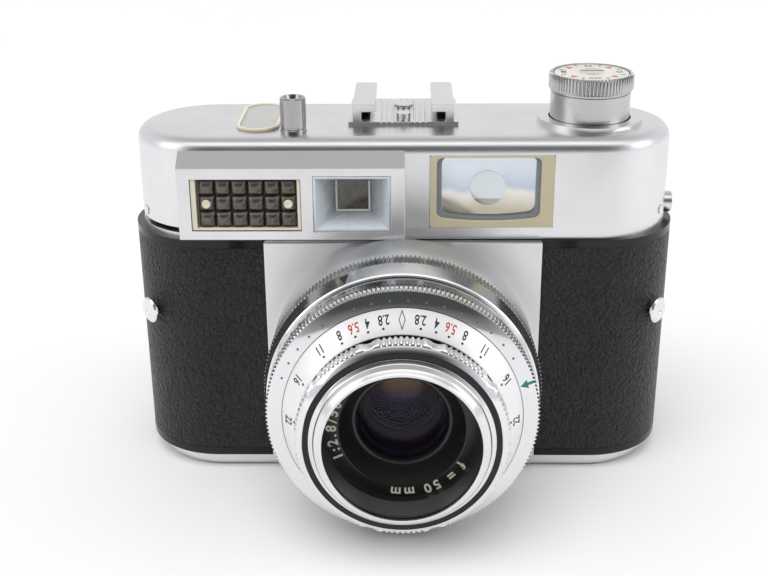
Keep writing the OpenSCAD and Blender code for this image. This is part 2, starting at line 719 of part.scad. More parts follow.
// Knurled head, smooth skirt and the long shaft, raised for rewinding
module rewind_knob() color("#b4b5b7") translate([rewind_x, rewind_y, 0]) {
    difference() {
        union() {
            translate([0, 0, head_z]) cylinder(r = knob_r, h = knob_h);
            translate([0, 0, top_z - 1.2]) cylinder(r = skirt_r, h = head_z - top_z + 1.2);
        }
        translate([0, 0, top_z - 2]) cylinder(r = skirt_r - 1.2, h = head_z - top_z + 1);
        translate([0, 0, head_z + knob_h - 0.9]) cylinder(r = knob_r - 0.9, h = 2);
    }
    translate([0, 0, chamber_z1 + knob_lift]) cylinder(r = rewind_shaft_r, h = head_z - 1 - chamber_z1 - knob_lift);
    translate([0, 0, head_z + knob_h - 0.9]) cylinder(r = 1, h = 0.9);
}

// Film reminder disc with its slotted screw head
module reminder_dial() color("#e2ddcd") translate([rewind_x, rewind_y, head_z + knob_h - 0.85])
    difference() {
        union() {
            cylinder(r = knob_r - 1.1, h = 0.7);
            translate([0, 0, 0.7]) cylinder(r = 3, h = 0.35);
        }
        translate([0, 0, -1]) cylinder(r = 1 + run, h = 2.0);
    }

// ---- Lens and shutter ----

// Round shoulder between the lens board and the rings
module lens_collar() color("#c5c6c8") difference() {
    r = speed_ring_r;
    lens_ring(concat([[housing_r + 0.5, board_f], [r, board_f], [r, 5]],
        [for (i = [1:5]) [r - 1.6 * (1 - cos(i * 15)), 5 + (collar_f - 5) * sin(i * 15) / sin(75)]],
        [[housing_r + 0.5, collar_f]]));
    box(-r - 1, r + 1, hood_y - 0.6, 0, seam_z - 0.1, top_z);
}

// Shutter case: back with the rear cell's tube, wall, front and the aperture ring's sleeve
module shutter_housing() color("#3a3a3c") {
    lens_ring([[9, -7], [10.5, -7], [10.5, -0.7], [barrel_r + 1.9, -0.7], [barrel_r + 1.9, board_f],
        [housing_r, board_f], [housing_r, aperture_f0 - 0.2], [sleeve_r, aperture_f0 - 0.2],
        [sleeve_r, aperture_f1], [sleeve_r - 1.8, aperture_f1], [sleeve_r - 1.8, aperture_f0 - 0.2],
        [barrel_r + 0.1, aperture_f0 - 0.2], [barrel_r + 0.1, aperture_f0 - 2.2],
        [housing_r - 1.9, aperture_f0 - 2.2], [housing_r - 1.9, 3.2], [9, 3.2]]);
    for (i = [0:iris_count - 1]) on_lens() rotate([0, 0, i * 360 / iris_count])
        translate([iris_pivot_r, 0, iris_f0 - 0.2]) cylinder(r = blade_pin_r, h = aperture_f0 - 1.5 - iris_f0);
    for (i = [0:shutter_count - 1]) on_lens() rotate([0, 0, i * 360 / shutter_count])
        translate([shutter_pivot[0], shutter_pivot[1], 2.6]) cylinder(r = blade_pin_r, h = 4);
}

module speed_ring() color("#c4c5c7")
    lens_pipe(speed_ring_r, housing_r + run, speed_f0, speed_f1);

module aperture_ring() color("#c4c5c7") lens_ring([[sleeve_r + run, aperture_f0],
    [aperture_ring_r, aperture_f0], [aperture_ring_r, aperture_f1 - 0.6], [scale_r, aperture_f1],
    [sleeve_r + run, aperture_f1]]);

// Fixed barrel with the white depth-of-field cone
module depth_scale() color("#d9dadb") {
    cup_r = scale_tip_r - 1.4;
    lens_ring([[9, 12], [barrel_r, 12], [barrel_r, aperture_f0 - 0.2], [sleeve_r - 2, aperture_f0 - 0.2],
        [sleeve_r - 2, scale_f0], [scale_r, scale_f0], [scale_tip_r, scale_f1], [cup_r, scale_f1],
        [cup_r, 31], [barrel_r - 1, 31], [barrel_r - 1, 14], [9, 14]]);
}

// Lens element of radius r between two planes, each face bulging outwards by b0 and b1
module glass_disc(r, f0, f1, b0, b1) lens_ring(concat(
    [for (i = [0:6]) [r * sin(i * 15), f0 - b0 * cos(i * 15)]],
    [for (i = [6:-1:0]) [r * sin(i * 15), f1 + b1 * cos(i * 15)]]));

module middle_lens() color("#8a93a8") glass_disc(9, 12.2, 14.6, -0.5, -0.5);

module rear_lens() color("#8f94b0") glass_disc(9, -5, -1.5, 1.2, 0.6);

// Key sleeve that slides in the barrel and pushes the front cell out
module focus_thread() color("#8f8558") lens_ring([[thread_in_r + run, 17], [barrel_r - 1 - run, 17],
    [barrel_r - 1 - run, 31.6], [18.2, 31.6], [18.2, 33.6], [thread_in_r + run, 33.6]]);

module focus_ring() color("#c9cacc") {
    skirt = scale_tip_r - 1.9;
    lens_ring([[bezel_r, focus_f0 - 3], [skirt, focus_f0 - 3], [skirt, focus_f0],
        [focus_ring_r, focus_f0], [focus_ring_r, focus_f0 + 2.2], [ring_in_r, focus_f1], [bezel_r, focus_f1]]);
}

// Front cell: bezel, threaded tube and the seat of the front glass
module front_bezel() color("#c9cacc") {
    name_f = lens_len - 8.2;
    lens_ring([[filter_r, lens_len], [filter_r + 0.7, lens_len], [bezel_r, focus_f1], [bezel_r, focus_f0 - 3.3],
        [thread_in_r, focus_f0 - 3.3], [thread_in_r, 17.5], [12.4, 17.5], [12.4, glass_f - 2.2],
        [front_glass_r, glass_f - 2.2], [front_glass_r, glass_f + 0.8], [12.9, name_f], [filter_r, name_f]]);
}

module front_lens() color("#4b3f66") glass_disc(front_glass_r, glass_f - 2.2, glass_f, -0.6, 1.0);

// Curved iris leaf with its pivot hole, at rest clear of the full opening
module iris_blade(i) color("#3c3c40") on_lens() rotate([0, 0, i * 360 / iris_count])
    translate([0, 0, iris_f0 + i * blade_step]) linear_extrude(blade_t) difference() {
        union() {
            intersection() {
                difference() {
                    circle(14.6);
                    circle(blade_in_r);
                }
                polygon([[0, 0], [30, -6], [30, 40], [-12, 40]]);
            }
            polygon([[11, -1.6], [iris_pivot_r, -1.6], [iris_pivot_r, 1.6], [11, 1.6]]);
            translate([iris_pivot_r, 0]) circle(1.6);
        }
        translate([iris_pivot_r, 0]) circle(blade_pin_r + run);
    }

// Shutter leaf, at rest closed over its third of the opening
module shutter_blade(i) color("#232325") on_lens() rotate([0, 0, i * 360 / shutter_count])
    translate([0, 0, shutter_f0 + i * blade_step]) linear_extrude(blade_t) difference() {
        union() {
            polygon(concat([[-0.4, -0.7]], [for (a = [-2:10:122]) 10.4 * [cos(a), sin(a)]]));
            polygon([[7, -0.5], [shutter_pivot[0] - 0.4, shutter_pivot[1] - 1.7],
                [shutter_pivot[0] + 0.4, shutter_pivot[1] + 1.7], [8.5, 5.5]]);
            translate(shutter_pivot) circle(1.8);
        }
        translate(shutter_pivot) circle(blade_pin_r + run);
    }

body_casting();
front_leather_left();
front_leather_right();
lens_board();
light_tunnel();
film_gate();
tripod_bush();
base_plate();
counter_dial();
base_flap();
latch_key();
back_door();
door_leather();
hinge_pins();
pressure_plate();
takeup_spool();
film_sprocket();
strap_studs();
top_cover();
cover_screws();
meter_housing();
selenium_cell();
rangefinder_well();
rangefinder_window();
rangefinder_mirror();
viewfinder_frame();
viewfinder_lens();
beam_splitter();
eyepiece();
eyepiece_lens();
meter_movement();
meter_needle();
follow_pointer();
meter_window();
accessory_shoe();
flash_socket();
release_button();
advance_lever();
rewind_fork();
rewind_knob();
reminder_dial();
lens_collar();
shutter_housing();
speed_ring();
aperture_ring();
depth_scale();
middle_lens();
rear_lens();
focus_thread();
focus_ring();
front_bezel();
front_lens();
iris_blade(0);  // iris_blade_1
iris_blade(1);  // iris_blade_2
iris_blade(2);  // iris_blade_3
iris_blade(3);  // iris_blade_4
iris_blade(4);  // iris_blade_5
shutter_blade(0);  // shutter_blade_1
shutter_blade(1);  // shutter_blade_2
shutter_blade(2);  // shutter_blade_3
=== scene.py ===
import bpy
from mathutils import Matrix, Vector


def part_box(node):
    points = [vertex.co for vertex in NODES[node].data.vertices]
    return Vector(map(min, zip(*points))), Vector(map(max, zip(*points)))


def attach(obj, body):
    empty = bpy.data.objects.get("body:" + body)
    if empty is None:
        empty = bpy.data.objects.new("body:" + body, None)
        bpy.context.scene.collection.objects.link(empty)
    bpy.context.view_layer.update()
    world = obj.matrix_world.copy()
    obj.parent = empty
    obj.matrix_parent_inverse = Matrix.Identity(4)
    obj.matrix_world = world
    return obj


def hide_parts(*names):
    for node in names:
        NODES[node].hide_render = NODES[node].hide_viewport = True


bl_info = {
    "name": "Rangefinder Camera Looks",
    "version": (1, 0, 0),
    "blender": (4, 5, 0),
    "location": "3D View > Sidebar > Camera",
    "description": "Outer shells, rings, scales, glass and finishes of a 35 mm rangefinder camera",
    "category": "Object",
}

import functools
import math

import bmesh
import bpy
from bpy.props import FloatProperty, FloatVectorProperty, IntProperty, PointerProperty
from mathutils import Matrix, Vector

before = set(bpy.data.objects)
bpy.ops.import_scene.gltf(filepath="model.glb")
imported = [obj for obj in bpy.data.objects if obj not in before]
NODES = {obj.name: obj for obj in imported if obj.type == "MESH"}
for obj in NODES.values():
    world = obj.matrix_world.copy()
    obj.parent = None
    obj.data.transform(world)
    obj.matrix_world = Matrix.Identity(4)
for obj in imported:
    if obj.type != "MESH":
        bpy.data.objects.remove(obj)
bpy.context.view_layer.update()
MM = 0.001


def span(node):
    """Lowest and highest corner of a node at rest, in millimetres."""
    low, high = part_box(node)
    return low / MM, high / MM


# Places shared by several pieces, in millimetres
BODY_FRONT = span("front_leather_left")[0].y
LENS_Z = sum(corner.z for corner in span("speed_ring")) / 2
COVER_LOW, COVER_HIGH = span("top_cover")
SEAM_Z = COVER_LOW.z
TOP_Z = span("accessory_shoe")[0].z
COVER_FRONT = COVER_LOW.y
KNOB_LOW, KNOB_HIGH = span("rewind_knob")
KNOB_X = (KNOB_LOW.x + KNOB_HIGH.x) / 2
KNOB_Y = (KNOB_LOW.y + KNOB_HIGH.y) / 2

# How far the cover screws face forward of the sides
SCREW_TURN = math.radians(29)

# Steps round a whole turned piece, across one milled tooth and round the ends of a stadium, and the cuts that let the
# lower edge of a window bow
ROUND_STEPS = 128
TOOTH_STEPS = 4
END_STEPS = 64
SAG_CUTS = 12

LENS_AXIS = (Matrix.Translation(Vector((0, BODY_FRONT, LENS_Z)) * MM)
             @ Matrix.Rotation(math.radians(90), 4, "X"))


def upright(x, y, z=0.0):
    """Places a turned piece on a vertical axis through x, y."""
    return Matrix.Translation(Vector((x, y, z)) * MM)


def ahead(node):
    """Nearest and furthest distance of a node in front of the body, along the lens axis."""
    low, high = span(node)
    return BODY_FRONT - high.y, BODY_FRONT - low.y


# ---- Finishes ----

class Value:
    """A socket of a finish that sums, products and limits can be written with."""

    def __init__(self, finish, socket):
        self.finish = finish
        self.socket = socket

    def math(self, operation, *values):
        return self.finish.node("ShaderNodeMath", {"operation": operation}, dict(enumerate(values)))

    def __add__(self, other):
        return self.math("ADD", self, other)

    __radd__ = __add__

    def __sub__(self, other):
        return self.math("SUBTRACT", self, other)

    def __rsub__(self, other):
        return self.math("SUBTRACT", other, self)

    def __mul__(self, other):
        return self.math("MULTIPLY", self, other)

    __rmul__ = __mul__

    def __gt__(self, other):
        return self.math("GREATER_THAN", self, other)


class Finish:
    """A material and the nodes it is made of."""

    def __init__(self, name, store=None):
        self.material = (bpy.data.materials if store is None else store).new(name)
        self.material.use_nodes = True
        self.tree = self.material.node_tree
        self.tree.nodes.clear()

    def node(self, kind, settings=None, inputs=None, output=0):
        """One node: its settings, then the values or links of its sockets."""
        made = self.tree.nodes.new(kind)
        for key, value in (settings or {}).items():
            if key == "stops":
                ramp = made.color_ramp.elements
                while len(ramp) < len(value):
                    ramp.new(1.0)
                for stop, (place, colour) in zip(ramp, value):
                    stop.position = place
                    stop.color = (*colour, 1.0)
            else:
                setattr(made, key, value)
        for key, value in (inputs or {}).items():
            if isinstance(value, Value):
                self.tree.links.new(value.socket, made.inputs[key])
            else:
                made.inputs[key].default_value = value
        return Value(self, made.outputs[output])

    def place(self, centre=(0, 0, 0), stretch=(1, 1, 1)):
        """Position on the object, counted from a centre in millimetres."""
        where = self.node("ShaderNodeTexCoord", output="Object")
        return self.node("ShaderNodeMapping", {"vector_type": "POINT"}, {
            "Vector": where, "Scale": stretch,
            "Location": [-c * s * MM for c, s in zip(centre, stretch)]})

    def noise(self, grain, detail=2.0, stretch=(1, 1, 1)):
        """Soft pattern with features about grain millimetres across."""
        return self.node("ShaderNodeTexNoise", {}, {
            "Vector": self.place(stretch=stretch), "Scale": 1 / (grain * MM), "Detail": detail})

    def lines(self, width, coordinate):
        """Fine turning marks, width millimetres apart along a coordinate."""
        return self.node("ShaderNodeTexNoise", {"noise_dimensions": "1D"}, {
            "W": coordinate, "Scale": 1 / (width * MM), "Detail": 1.0})

    def axis(self, centre, order):
        """Radius plus height along an axis, in metres: constant along each turning mark."""
        parts = [self.node("ShaderNodeSeparateXYZ", {}, {"Vector": self.place(centre)}, i) for i in order]
        across = parts[0] * parts[0] + parts[1] * parts[1]
        return across.math("SQRT", across) + parts[2]

    def ramp(self, value, stops):
        return self.node("ShaderNodeValToRGB", {"stops": stops}, {"Fac": value})

    def mix(self, low, high, factor):
        """From one colour to another."""
        colours = [c if isinstance(c, Value) else (*c, 1.0) for c in (low, high)]
        return self.node("ShaderNodeMix", {"data_type": "RGBA"},
                         {0: factor, 6: colours[0], 7: colours[1]}, output=2)

    def bump(self, height, depth):
        """Normal of a relief that is depth millimetres deep."""
        return self.node("ShaderNodeBump", {}, {"Height": height, "Distance": depth * MM, "Strength": 1.0})

    def surface(self, colour, metallic=0.0, roughness=0.5, normal=None, **fixed):
        """Ends the finish in its shader and returns the material."""
        inputs = {"Base Color": colour if isinstance(colour, Value) else (*colour, 1.0),
                  "Metallic": metallic, "Roughness": roughness}
        if normal:
            inputs["Normal"] = normal
        inputs.update({key.replace("_", " ").title().replace("Ior", "IOR"): value
                       for key, value in fixed.items()})
        shader = self.node("ShaderNodeBsdfPrincipled", {}, inputs)
        return self.ended("ShaderNodeOutputMaterial", shader)

    def ended(self, kind, shader):
        out = self.tree.nodes.new(kind)
        self.tree.links.new(shader.socket, out.inputs["Surface"])
        return self.material


def tone():
    return bpy.context.scene.camera_finish


def metal(name, colour, smooth, haze=9.0, haze_depth=0.06, grain=0.12, relief=0.006, pits=0.35):
    """A plated metal: broad haze in its gloss, a fine grain and a few tiny pits."""
    f = Finish(name)
    cloud = f.noise(haze, 3.0)
    fine = f.noise(grain)
    pit = (f.noise(0.8, 5.0) > 0.74) * pits
    dull = tuple(0.55 * c for c in colour)
    shade = f.mix(f.mix(colour, tuple(0.9 * c for c in colour), cloud), dull, pit)
    rough = smooth + (cloud - 0.5) * haze_depth * 2 + pit * 0.3
    return f.surface(shade, 1.0, rough, f.bump(fine, relief))


@functools.cache
def satin_chrome():
    return metal("satin chrome", tuple(tone().chrome), tone().satin)


@functools.cache
def board_chrome():
    return metal("board chrome", tuple(0.97 * c for c in tone().chrome), tone().satin + 0.05, haze=14.0)


@functools.cache
def bright_chrome():
    return metal("bright chrome", (0.86, 0.86, 0.87), 0.09, haze=5.0, haze_depth=0.04, relief=0.001, pits=0.2)


def turned_metal(name, centre, order, colour, smooth, width=0.14, relief=0.004):
    """A turned metal with fine marks that run round its axis."""
    f = Finish(name)
    mark = f.lines(width, f.axis(centre, order))
    cloud = f.noise(6.0, 3.0)
    shade = f.mix(colour, tuple(0.82 * c for c in colour), mark * 0.6 + cloud * 0.3)
    rough = smooth + (mark - 0.5) * 0.12 + (cloud - 0.5) * 0.08
    return f.surface(shade, 1.0, rough, f.bump(mark, relief))


@functools.cache
def well_silver():
    return lacquer("well silver", (0.6, 0.645, 0.68), 0.28, coat=0.35, haze=6.0, relief=0.001)


@functools.cache
def shoulder_chrome():
    return metal("shoulder chrome", (0.92, 0.92, 0.93), 0.46, haze=12.0)


# Painted reflection: chrome darkened to stand in for the dark surroundings the release button reflects
@functools.cache
def shaded_chrome():
    return metal("shaded chrome", (0.42, 0.41, 0.41), 0.14, haze=4.0, haze_depth=0.05, relief=0.002)


@functools.cache
def ring_chrome():
    return turned_metal("ring chrome", (0, 0, LENS_Z), (0, 2, 1), (0.84, 0.84, 0.85), 0.16)


@functools.cache
def mirror_chrome():
    return turned_metal("mirror chrome", (0, 0, LENS_Z), (0, 2, 1), (0.86, 0.86, 0.87), 0.07, relief=0.001)


@functools.cache
def scale_metal():
    return turned_metal("scale metal", (0, 0, LENS_Z), (0, 2, 1), (0.93, 0.93, 0.93), 0.42, relief=0.003)


@functools.cache
def knob_chrome():
    return turned_metal("knob chrome", (KNOB_X, KNOB_Y, 0), (0, 1, 2), (0.58, 0.575, 0.565), 0.24, width=0.1)


@functools.cache
def plate_steel():
    return metal("plate steel", (0.56, 0.56, 0.57), 0.35, haze=6.0, relief=0.01)


@functools.cache
def blade_steel():
    return metal("blade steel", (0.16, 0.16, 0.17), 0.32, haze=4.0, grain=0.3)


@functools.cache
def thread_brass():
    return metal("thread brass", (0.55, 0.42, 0.2), 0.35, haze=4.0, relief=0.01)


@functools.cache
def leather():
    """Pebbled black leatherette: rounded grains, with painted shade darkening their creases."""
    f = Finish("leather")
    drift = f.node("ShaderNodeVectorMath", {"operation": "MULTIPLY_ADD"}, {
        0: f.node("ShaderNodeTexNoise", {}, {"Vector": f.place(), "Scale": 1 / (1.6 * MM)}, output=1),
        1: (0.7 * MM,) * 3, 2: f.place()})
    pebble = f.node("ShaderNodeTexVoronoi", {"feature": "SMOOTH_F1"}, {
        "Vector": drift, "Scale": 1 / (tone().grain * MM), "Smoothness": 0.55})
    crease = f.node("ShaderNodeTexVoronoi", {"feature": "DISTANCE_TO_EDGE"}, {
        "Vector": drift, "Scale": 1 / (2.3 * tone().grain * MM)})
    worn = f.noise(14.0, 3.0)
    height = 1 - pebble + f.ramp(crease, [(0.0, (0, 0, 0)), (0.12, (1, 1, 1))]) * 0.35
    dark = tuple(tone().leather)
    # Painted shade: colour darkens where the grain is low, in the creases, and is lighter on the pebble tops
    shade = f.mix(tuple(0.35 * c for c in dark), tuple(1.5 * c for c in dark), height * 0.75)
    rough = 0.42 - height * 0.08 + (worn - 0.5) * 0.14
    return f.surface(shade, 0.0, rough, f.bump(height + f.noise(0.22) * 0.2, 0.5), specular_ior_level=0.36)


def lacquer(name, colour, rough, gloss=0.5, coat=0.0, haze=7.0, relief=0.008):
    """A painted or moulded surface with a faint grain and slightly uneven colour."""
    f = Finish(name)
    cloud = f.noise(haze, 4.0)
    dust = (f.noise(0.5, 4.0) > 0.76) * 0.12
    shade = f.mix(tuple(0.86 * c for c in colour), tuple(1.1 * c for c in colour), cloud)
    worn = f.mix(shade, tuple(0.5 * c + 0.12 for c in colour), dust)
    return f.surface(worn, 0.0, rough + (cloud - 0.5) * 0.12 + dust, f.bump(f.noise(0.25), relief),
                     specular_ior_level=gloss, coat_weight=coat, coat_roughness=0.08)


@functools.cache
def black_enamel():
    return lacquer("black enamel", (0.008, 0.008, 0.009), 0.25, gloss=0.3, coat=0.12)


@functools.cache
def black_paint():
    return lacquer("black paint", (0.014, 0.014, 0.015), 0.32)


@functools.cache
def black_matt():
    return lacquer("black matt", (0.011, 0.011, 0.012), 0.55, gloss=0.35)


@functools.cache
def black_plastic():
    return lacquer("black plastic", (0.02, 0.02, 0.021), 0.38)


@functools.cache
def ivory():
    """Yellowed mask plastic, with slightly uneven colour."""
    return lacquer("ivory", (0.56, 0.5, 0.34), 0.42, haze=11.0)


@functools.cache
def rim_cream():
    return lacquer("rim cream", (0.78, 0.72, 0.57), 0.3)


@functools.cache
def scale_card():
    return lacquer("scale card", (0.78, 0.78, 0.75), 0.5, haze=5.0)


@functools.cache
def dial_cream():
    return lacquer("dial cream", (0.72, 0.7, 0.62), 0.4, haze=4.0)


@functools.cache
def bezel_grey():
    return lacquer("bezel grey", (0.2, 0.22, 0.235), 0.35)


@functools.cache
def ink(kind):
    """Paint that fills an engraved mark."""
    colours = {"black": (0.015, 0.015, 0.02), "red": (0.5, 0.06, 0.03), "teal": (0.02, 0.2, 0.2),
               "cream": (0.8, 0.76, 0.64), "white": (0.8, 0.8, 0.78)}
    return lacquer(kind + " ink", colours[kind], 0.45, haze=1.5)


@functools.cache
def needle_red():
    return lacquer("needle red", (0.5, 0.07, 0.03), 0.4, haze=2.0)


@functools.cache
def cell_glass():
    """Moulded lenslets over the light cell: smoky and a little dusty."""
    f = Finish("cell glass")
    cloud = f.noise(1.6, 4.0)
    dust = f.noise(0.35, 5.0)
    shade = f.mix((0.016, 0.014, 0.012), (0.13, 0.11, 0.09), cloud * dust * 2.0)
    return f.surface(shade, 0.2, 0.1 + dust * 0.12, f.bump(dust, 0.004), coat_weight=0.8,
                     coat_roughness=0.06)


def clear(name, colour, through, rough=0.03):
    """Clear glass with a film of dust that dulls it unevenly."""
    f = Finish(name)
    film = f.noise(3.0, 2.0)
    shade = f.mix(colour, tuple(0.88 * c for c in colour), film)
    return f.surface(shade, 0.0, rough + film * rough, f.bump(film, 0.002),
                     transmission_weight=through, ior=1.5, specular_ior_level=0.5)


@functools.cache
def window_glass():
    return clear("window glass", (0.9, 0.9, 0.88), 0.55, 0.25)


@functools.cache
def front_glass():
    """Front element: a thin dark film that shows the coated element behind it."""
    f = Finish("front glass")
    film = f.noise(4.0, 1.0)
    shade = f.mix((0.02, 0.012, 0.03), (0.035, 0.02, 0.05), film)
    return f.surface(shade, 0.0, 0.04 + film * 0.02, alpha=0.22, coat_weight=0.1,
                     coat_roughness=0.05)


@functools.cache
def coated_glass_painted_reflection():
    """Inner element: a painted reflection on its coating, amber above, violet in the middle and nearly black below."""
    f = Finish("coated glass with painted reflection")
    rise = f.node("ShaderNodeSeparateXYZ", {}, {"Vector": f.place((0, 0, LENS_Z))}, 2) * (1 / (15 * MM)) + 0.5
    film = f.noise(6.0, 0.0)
    # Painted reflection: colour runs by height from nearly black below through violet to amber above
    shade = f.ramp(rise + (film - 0.5) * 0.06, [
        (0.05, (0.012, 0.008, 0.02)), (0.28, (0.025, 0.012, 0.08)), (0.46, (0.06, 0.028, 0.13)),
        (0.56, (0.12, 0.06, 0.05)), (0.78, (0.4, 0.24, 0.1))])
    return f.surface(shade, 0.5, 0.2 + film * 0.04, coat_weight=0.1,
                     coat_roughness=0.03)


@functools.cache
def finder_glass():
    """Half-silvered finder block: cool and warm reflections painted into its colour by height, under a clear face."""
    f = Finish("finder glass")
    parts = f.node("ShaderNodeSeparateXYZ", {}, {"Vector": f.place()}, 2)
    low, high = span("viewfinder_lens")
    up = (parts - low.z * MM) * (1 / ((high.z - low.z) * MM))
    film = f.noise(6.0, 2.0, stretch=(1, 1, 0.35))
    # Painted reflections: warm below, pale in the middle, cool above, banded by height
    shade = f.ramp(up + (film - 0.5) * 0.3, [(0.15, (0.5, 0.46, 0.36)), (0.45, (0.78, 0.76, 0.7)),
                                             (0.55, (0.5, 0.56, 0.66)), (0.9, (0.72, 0.77, 0.83))])
    return f.surface(shade, 0.75, 0.09 + film * 0.05, f.bump(film, 0.004), coat_weight=0.6,
                     coat_roughness=0.03)


@functools.cache
def patch_silver():
    """Round rangefinder patch: a painted reflection, pale above and smoky below."""
    f = Finish("patch silver")
    height = f.node("ShaderNodeSeparateXYZ", {}, {"Vector": f.place()}, 2)
    low, high = span("viewfinder_lens")
    film = f.noise(5.0, 3.0)
    # Painted reflection: colour splits by height into a pale upper half and a dark lower half
    split = (height + film * 0.0006) > ((low.z + high.z) / 2 - 1.7) * MM
    shade = f.mix((0.42, 0.41, 0.36), (0.66, 0.72, 0.74), split)
    return f.surface(shade, 0.6, 0.12 + film * 0.06, f.bump(film, 0.003), coat_weight=0.5, coat_roughness=0.04)


@functools.cache
def silvered():
    return metal("silvered mirror", (0.75, 0.8, 0.84), 0.05, haze=4.0, relief=0.001)


# ---- Shapes ----

def turned(outline, steps=ROUND_STEPS, closed=True):
    """Spins an outline of (radius, height) millimetres round the Z axis."""
    bm = bmesh.new()
    points = [bm.verts.new((radius * MM, 0, height * MM)) for radius, height in outline]
    pairs = list(zip(points, points[1:])) + ([(points[-1], points[0])] if closed else [])
    edges = [bm.edges.new(pair) for pair in pairs]
    bmesh.ops.spin(bm, geom=points + edges, cent=(0, 0, 0), axis=(0, 0, 1), dvec=(0, 0, 0),
                   angle=math.tau, steps=steps, use_merge=True)
    bmesh.ops.remove_doubles(bm, verts=bm.verts, dist=0.0005 * MM)
    bmesh.ops.recalc_face_normals(bm, faces=bm.faces)
    return bm


def milled(bm, teeth, depth, low, high, radius):
    """Cuts teeth into the wall of a turned piece between two heights, outside a radius."""
    for v in bm.verts:
        out = v.co.xy.length
        if low * MM < v.co.z < high * MM and out > radius * MM:
            turn = math.atan2(v.co.y, v.co.x) / math.tau % 1
            valley = (turn * teeth + 0.01) % 1 >= 0.5
            v.co.xy *= 1 - depth * MM * valley / out
    return bm


def stadium(width, length):
    """Flat face with straight sides and round ends, long along Y."""
    bm = bmesh.new()
    bmesh.ops.create_circle(bm, cap_ends=True, radius=width / 2 * MM, segments=END_STEPS)
    half = (length - width) / 2 * MM
    for sign in (1, -1):
        side = [v for v in bm.verts if v.co.y * sign > 0.001 * MM]
        bmesh.ops.translate(bm, verts=side, vec=(0, sign * half, 0))
    return bm


def pulled(bm, vec):
    """Gives flat faces a thickness along a direction in millimetres."""
    faces = list(bm.faces)
    extra = bmesh.ops.extrude_face_region(bm, geom=faces, use_keep_orig=True)
    moved = [g for g in extra["geom"] if isinstance(g, bmesh.types.BMVert)]
    bmesh.ops.translate(bm, verts=moved, vec=Vector(vec) * MM)
    bmesh.ops.recalc_face_normals(bm, faces=bm.faces)
    return bm


def merged(*parts):
    """Several bmeshes as one."""
    whole = bmesh.new()
    for part in parts:
        mesh = bpy.data.meshes.new("part")
        part.to_mesh(mesh)
        part.free()
        whole.from_mesh(mesh)
        bpy.data.meshes.remove(mesh)
    return whole


def moved(bm, matrix):
    bmesh.ops.transform(bm, matrix=matrix, verts=bm.verts)
    return bm


def block(low, high):
    """Box between two corners in millimetres."""
    bm = bmesh.new()
    bmesh.ops.create_cube(bm, size=MM)
    size = [b - a for a, b in zip(low, high)]
    middle = [(a + b) / 2 * MM for a, b in zip(low, high)]
    return moved(bm, Matrix.Translation(middle) @ Matrix.Diagonal((*size, 1)))


def rod(radius, low, high, steps=24):
    """Short cylinder between two heights."""
    bm = bmesh.new()
    bmesh.ops.create_cone(bm, cap_ends=True, segments=steps, radius1=radius * MM, radius2=radius * MM,
                          depth=(high - low) * MM)
    return moved(bm, Matrix.Translation(Vector((0, 0, (low + high) / 2)) * MM))


def words(text, size, thick=0.02, spread=1.0, bold=0.0, narrow=1.0):
    """Text as a thin solid lying on z = 0, centred, size millimetres tall."""
    curve = bpy.data.curves.new("words", "FONT")
    curve.body = text
    curve.size = size
    curve.align_x = "CENTER"
    curve.align_y = "CENTER"
    curve.extrude = thick
    curve.space_character = spread
    curve.offset = bold
    curve.resolution_u = 3
    holder = bpy.data.objects.new("words", curve)
    bpy.context.scene.collection.objects.link(holder)
    bpy.context.view_layer.update()
    mesh = bpy.data.meshes.new_from_object(holder.evaluated_get(bpy.context.evaluated_depsgraph_get()))
    bm = bmesh.new()
    bm.from_mesh(mesh)
    bmesh.ops.remove_doubles(bm, verts=bm.verts, dist=thick / 20)
    bmesh.ops.scale(bm, vec=(narrow, 1, 1), verts=bm.verts)
    bpy.data.objects.remove(holder)
    bpy.data.curves.remove(curve)
    bpy.data.meshes.remove(mesh)
    return bm


def wrapped(bm, radius, height, degrees, slope=(1, 0), clockwise=True):
    """Bends a flat mark round the Z axis.

    Its up direction runs along slope, in (radius, height), and its right direction runs
    round the axis from the angle given. The mark comes in millimetres.
    """
    run, rise = Vector(slope).normalized()
    normal = (-rise, run) if clockwise else (rise, -run)
    way = -1 if clockwise else 1
    for v in bm.verts:
        x, y, z = v.co
        turn = math.radians(degrees) + way * x / radius
        out = radius + y * run + z * normal[0]
        v.co = Vector((out * math.cos(turn), out * math.sin(turn), height + y * rise + z * normal[1])) * MM
    return bm


def from_frame(node):
    """Copy of a node's mesh with its loose triangles joined into whole faces."""
    bm = bmesh.new()
    bm.from_mesh(NODES[node].data)
    bmesh.ops.remove_doubles(bm, verts=bm.verts, dist=0.002 * MM)
    bmesh.ops.dissolve_limit(bm, angle_limit=math.radians(0.5), verts=bm.verts, edges=bm.edges)
    return bm


def piece(name, bm, body, finishes, stands_for=(), soft=0.0, crease=35, place=None):
    """Makes the object, with its finish, its body and the nodes that it stands for."""
    if place is not None:
        moved(bm, place)
    mesh = bpy.data.meshes.new(name)
    bm.to_mesh(mesh)
    bm.free()
    mesh.shade_smooth()
    mesh.set_sharp_from_angle(angle=math.radians(crease))
    for finish in finishes if isinstance(finishes, (list, tuple)) else [finishes]:
        mesh.materials.append(finish)
    obj = bpy.data.objects.new(name, mesh)
    bpy.context.scene.collection.objects.link(obj)
    if soft:
        edge = obj.modifiers.new("edge", "BEVEL")
        edge.width = soft * MM
        edge.segments = 2
        edge.limit_method = "ANGLE"
        edge.angle_limit = math.radians(crease)
        edge.harden_normals = True
    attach(obj, body)
    if stands_for:
        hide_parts(*stands_for)
    return obj


def shell(name, node, body, finish, soft=0.0, crease=35):
    """A piece with a node's own shape, smoothly shaded and with softened edges."""
    return piece(name, from_frame(node), body, finish, (node,), soft, crease)


def coat(finish, *nodes):
    """Gives nodes that keep their own mesh a finish."""
    for node in nodes:
        mesh = NODES[node].data
        mesh.materials.clear()
        mesh.materials.append(finish)


# ---- Sizes and colours a user can change ----

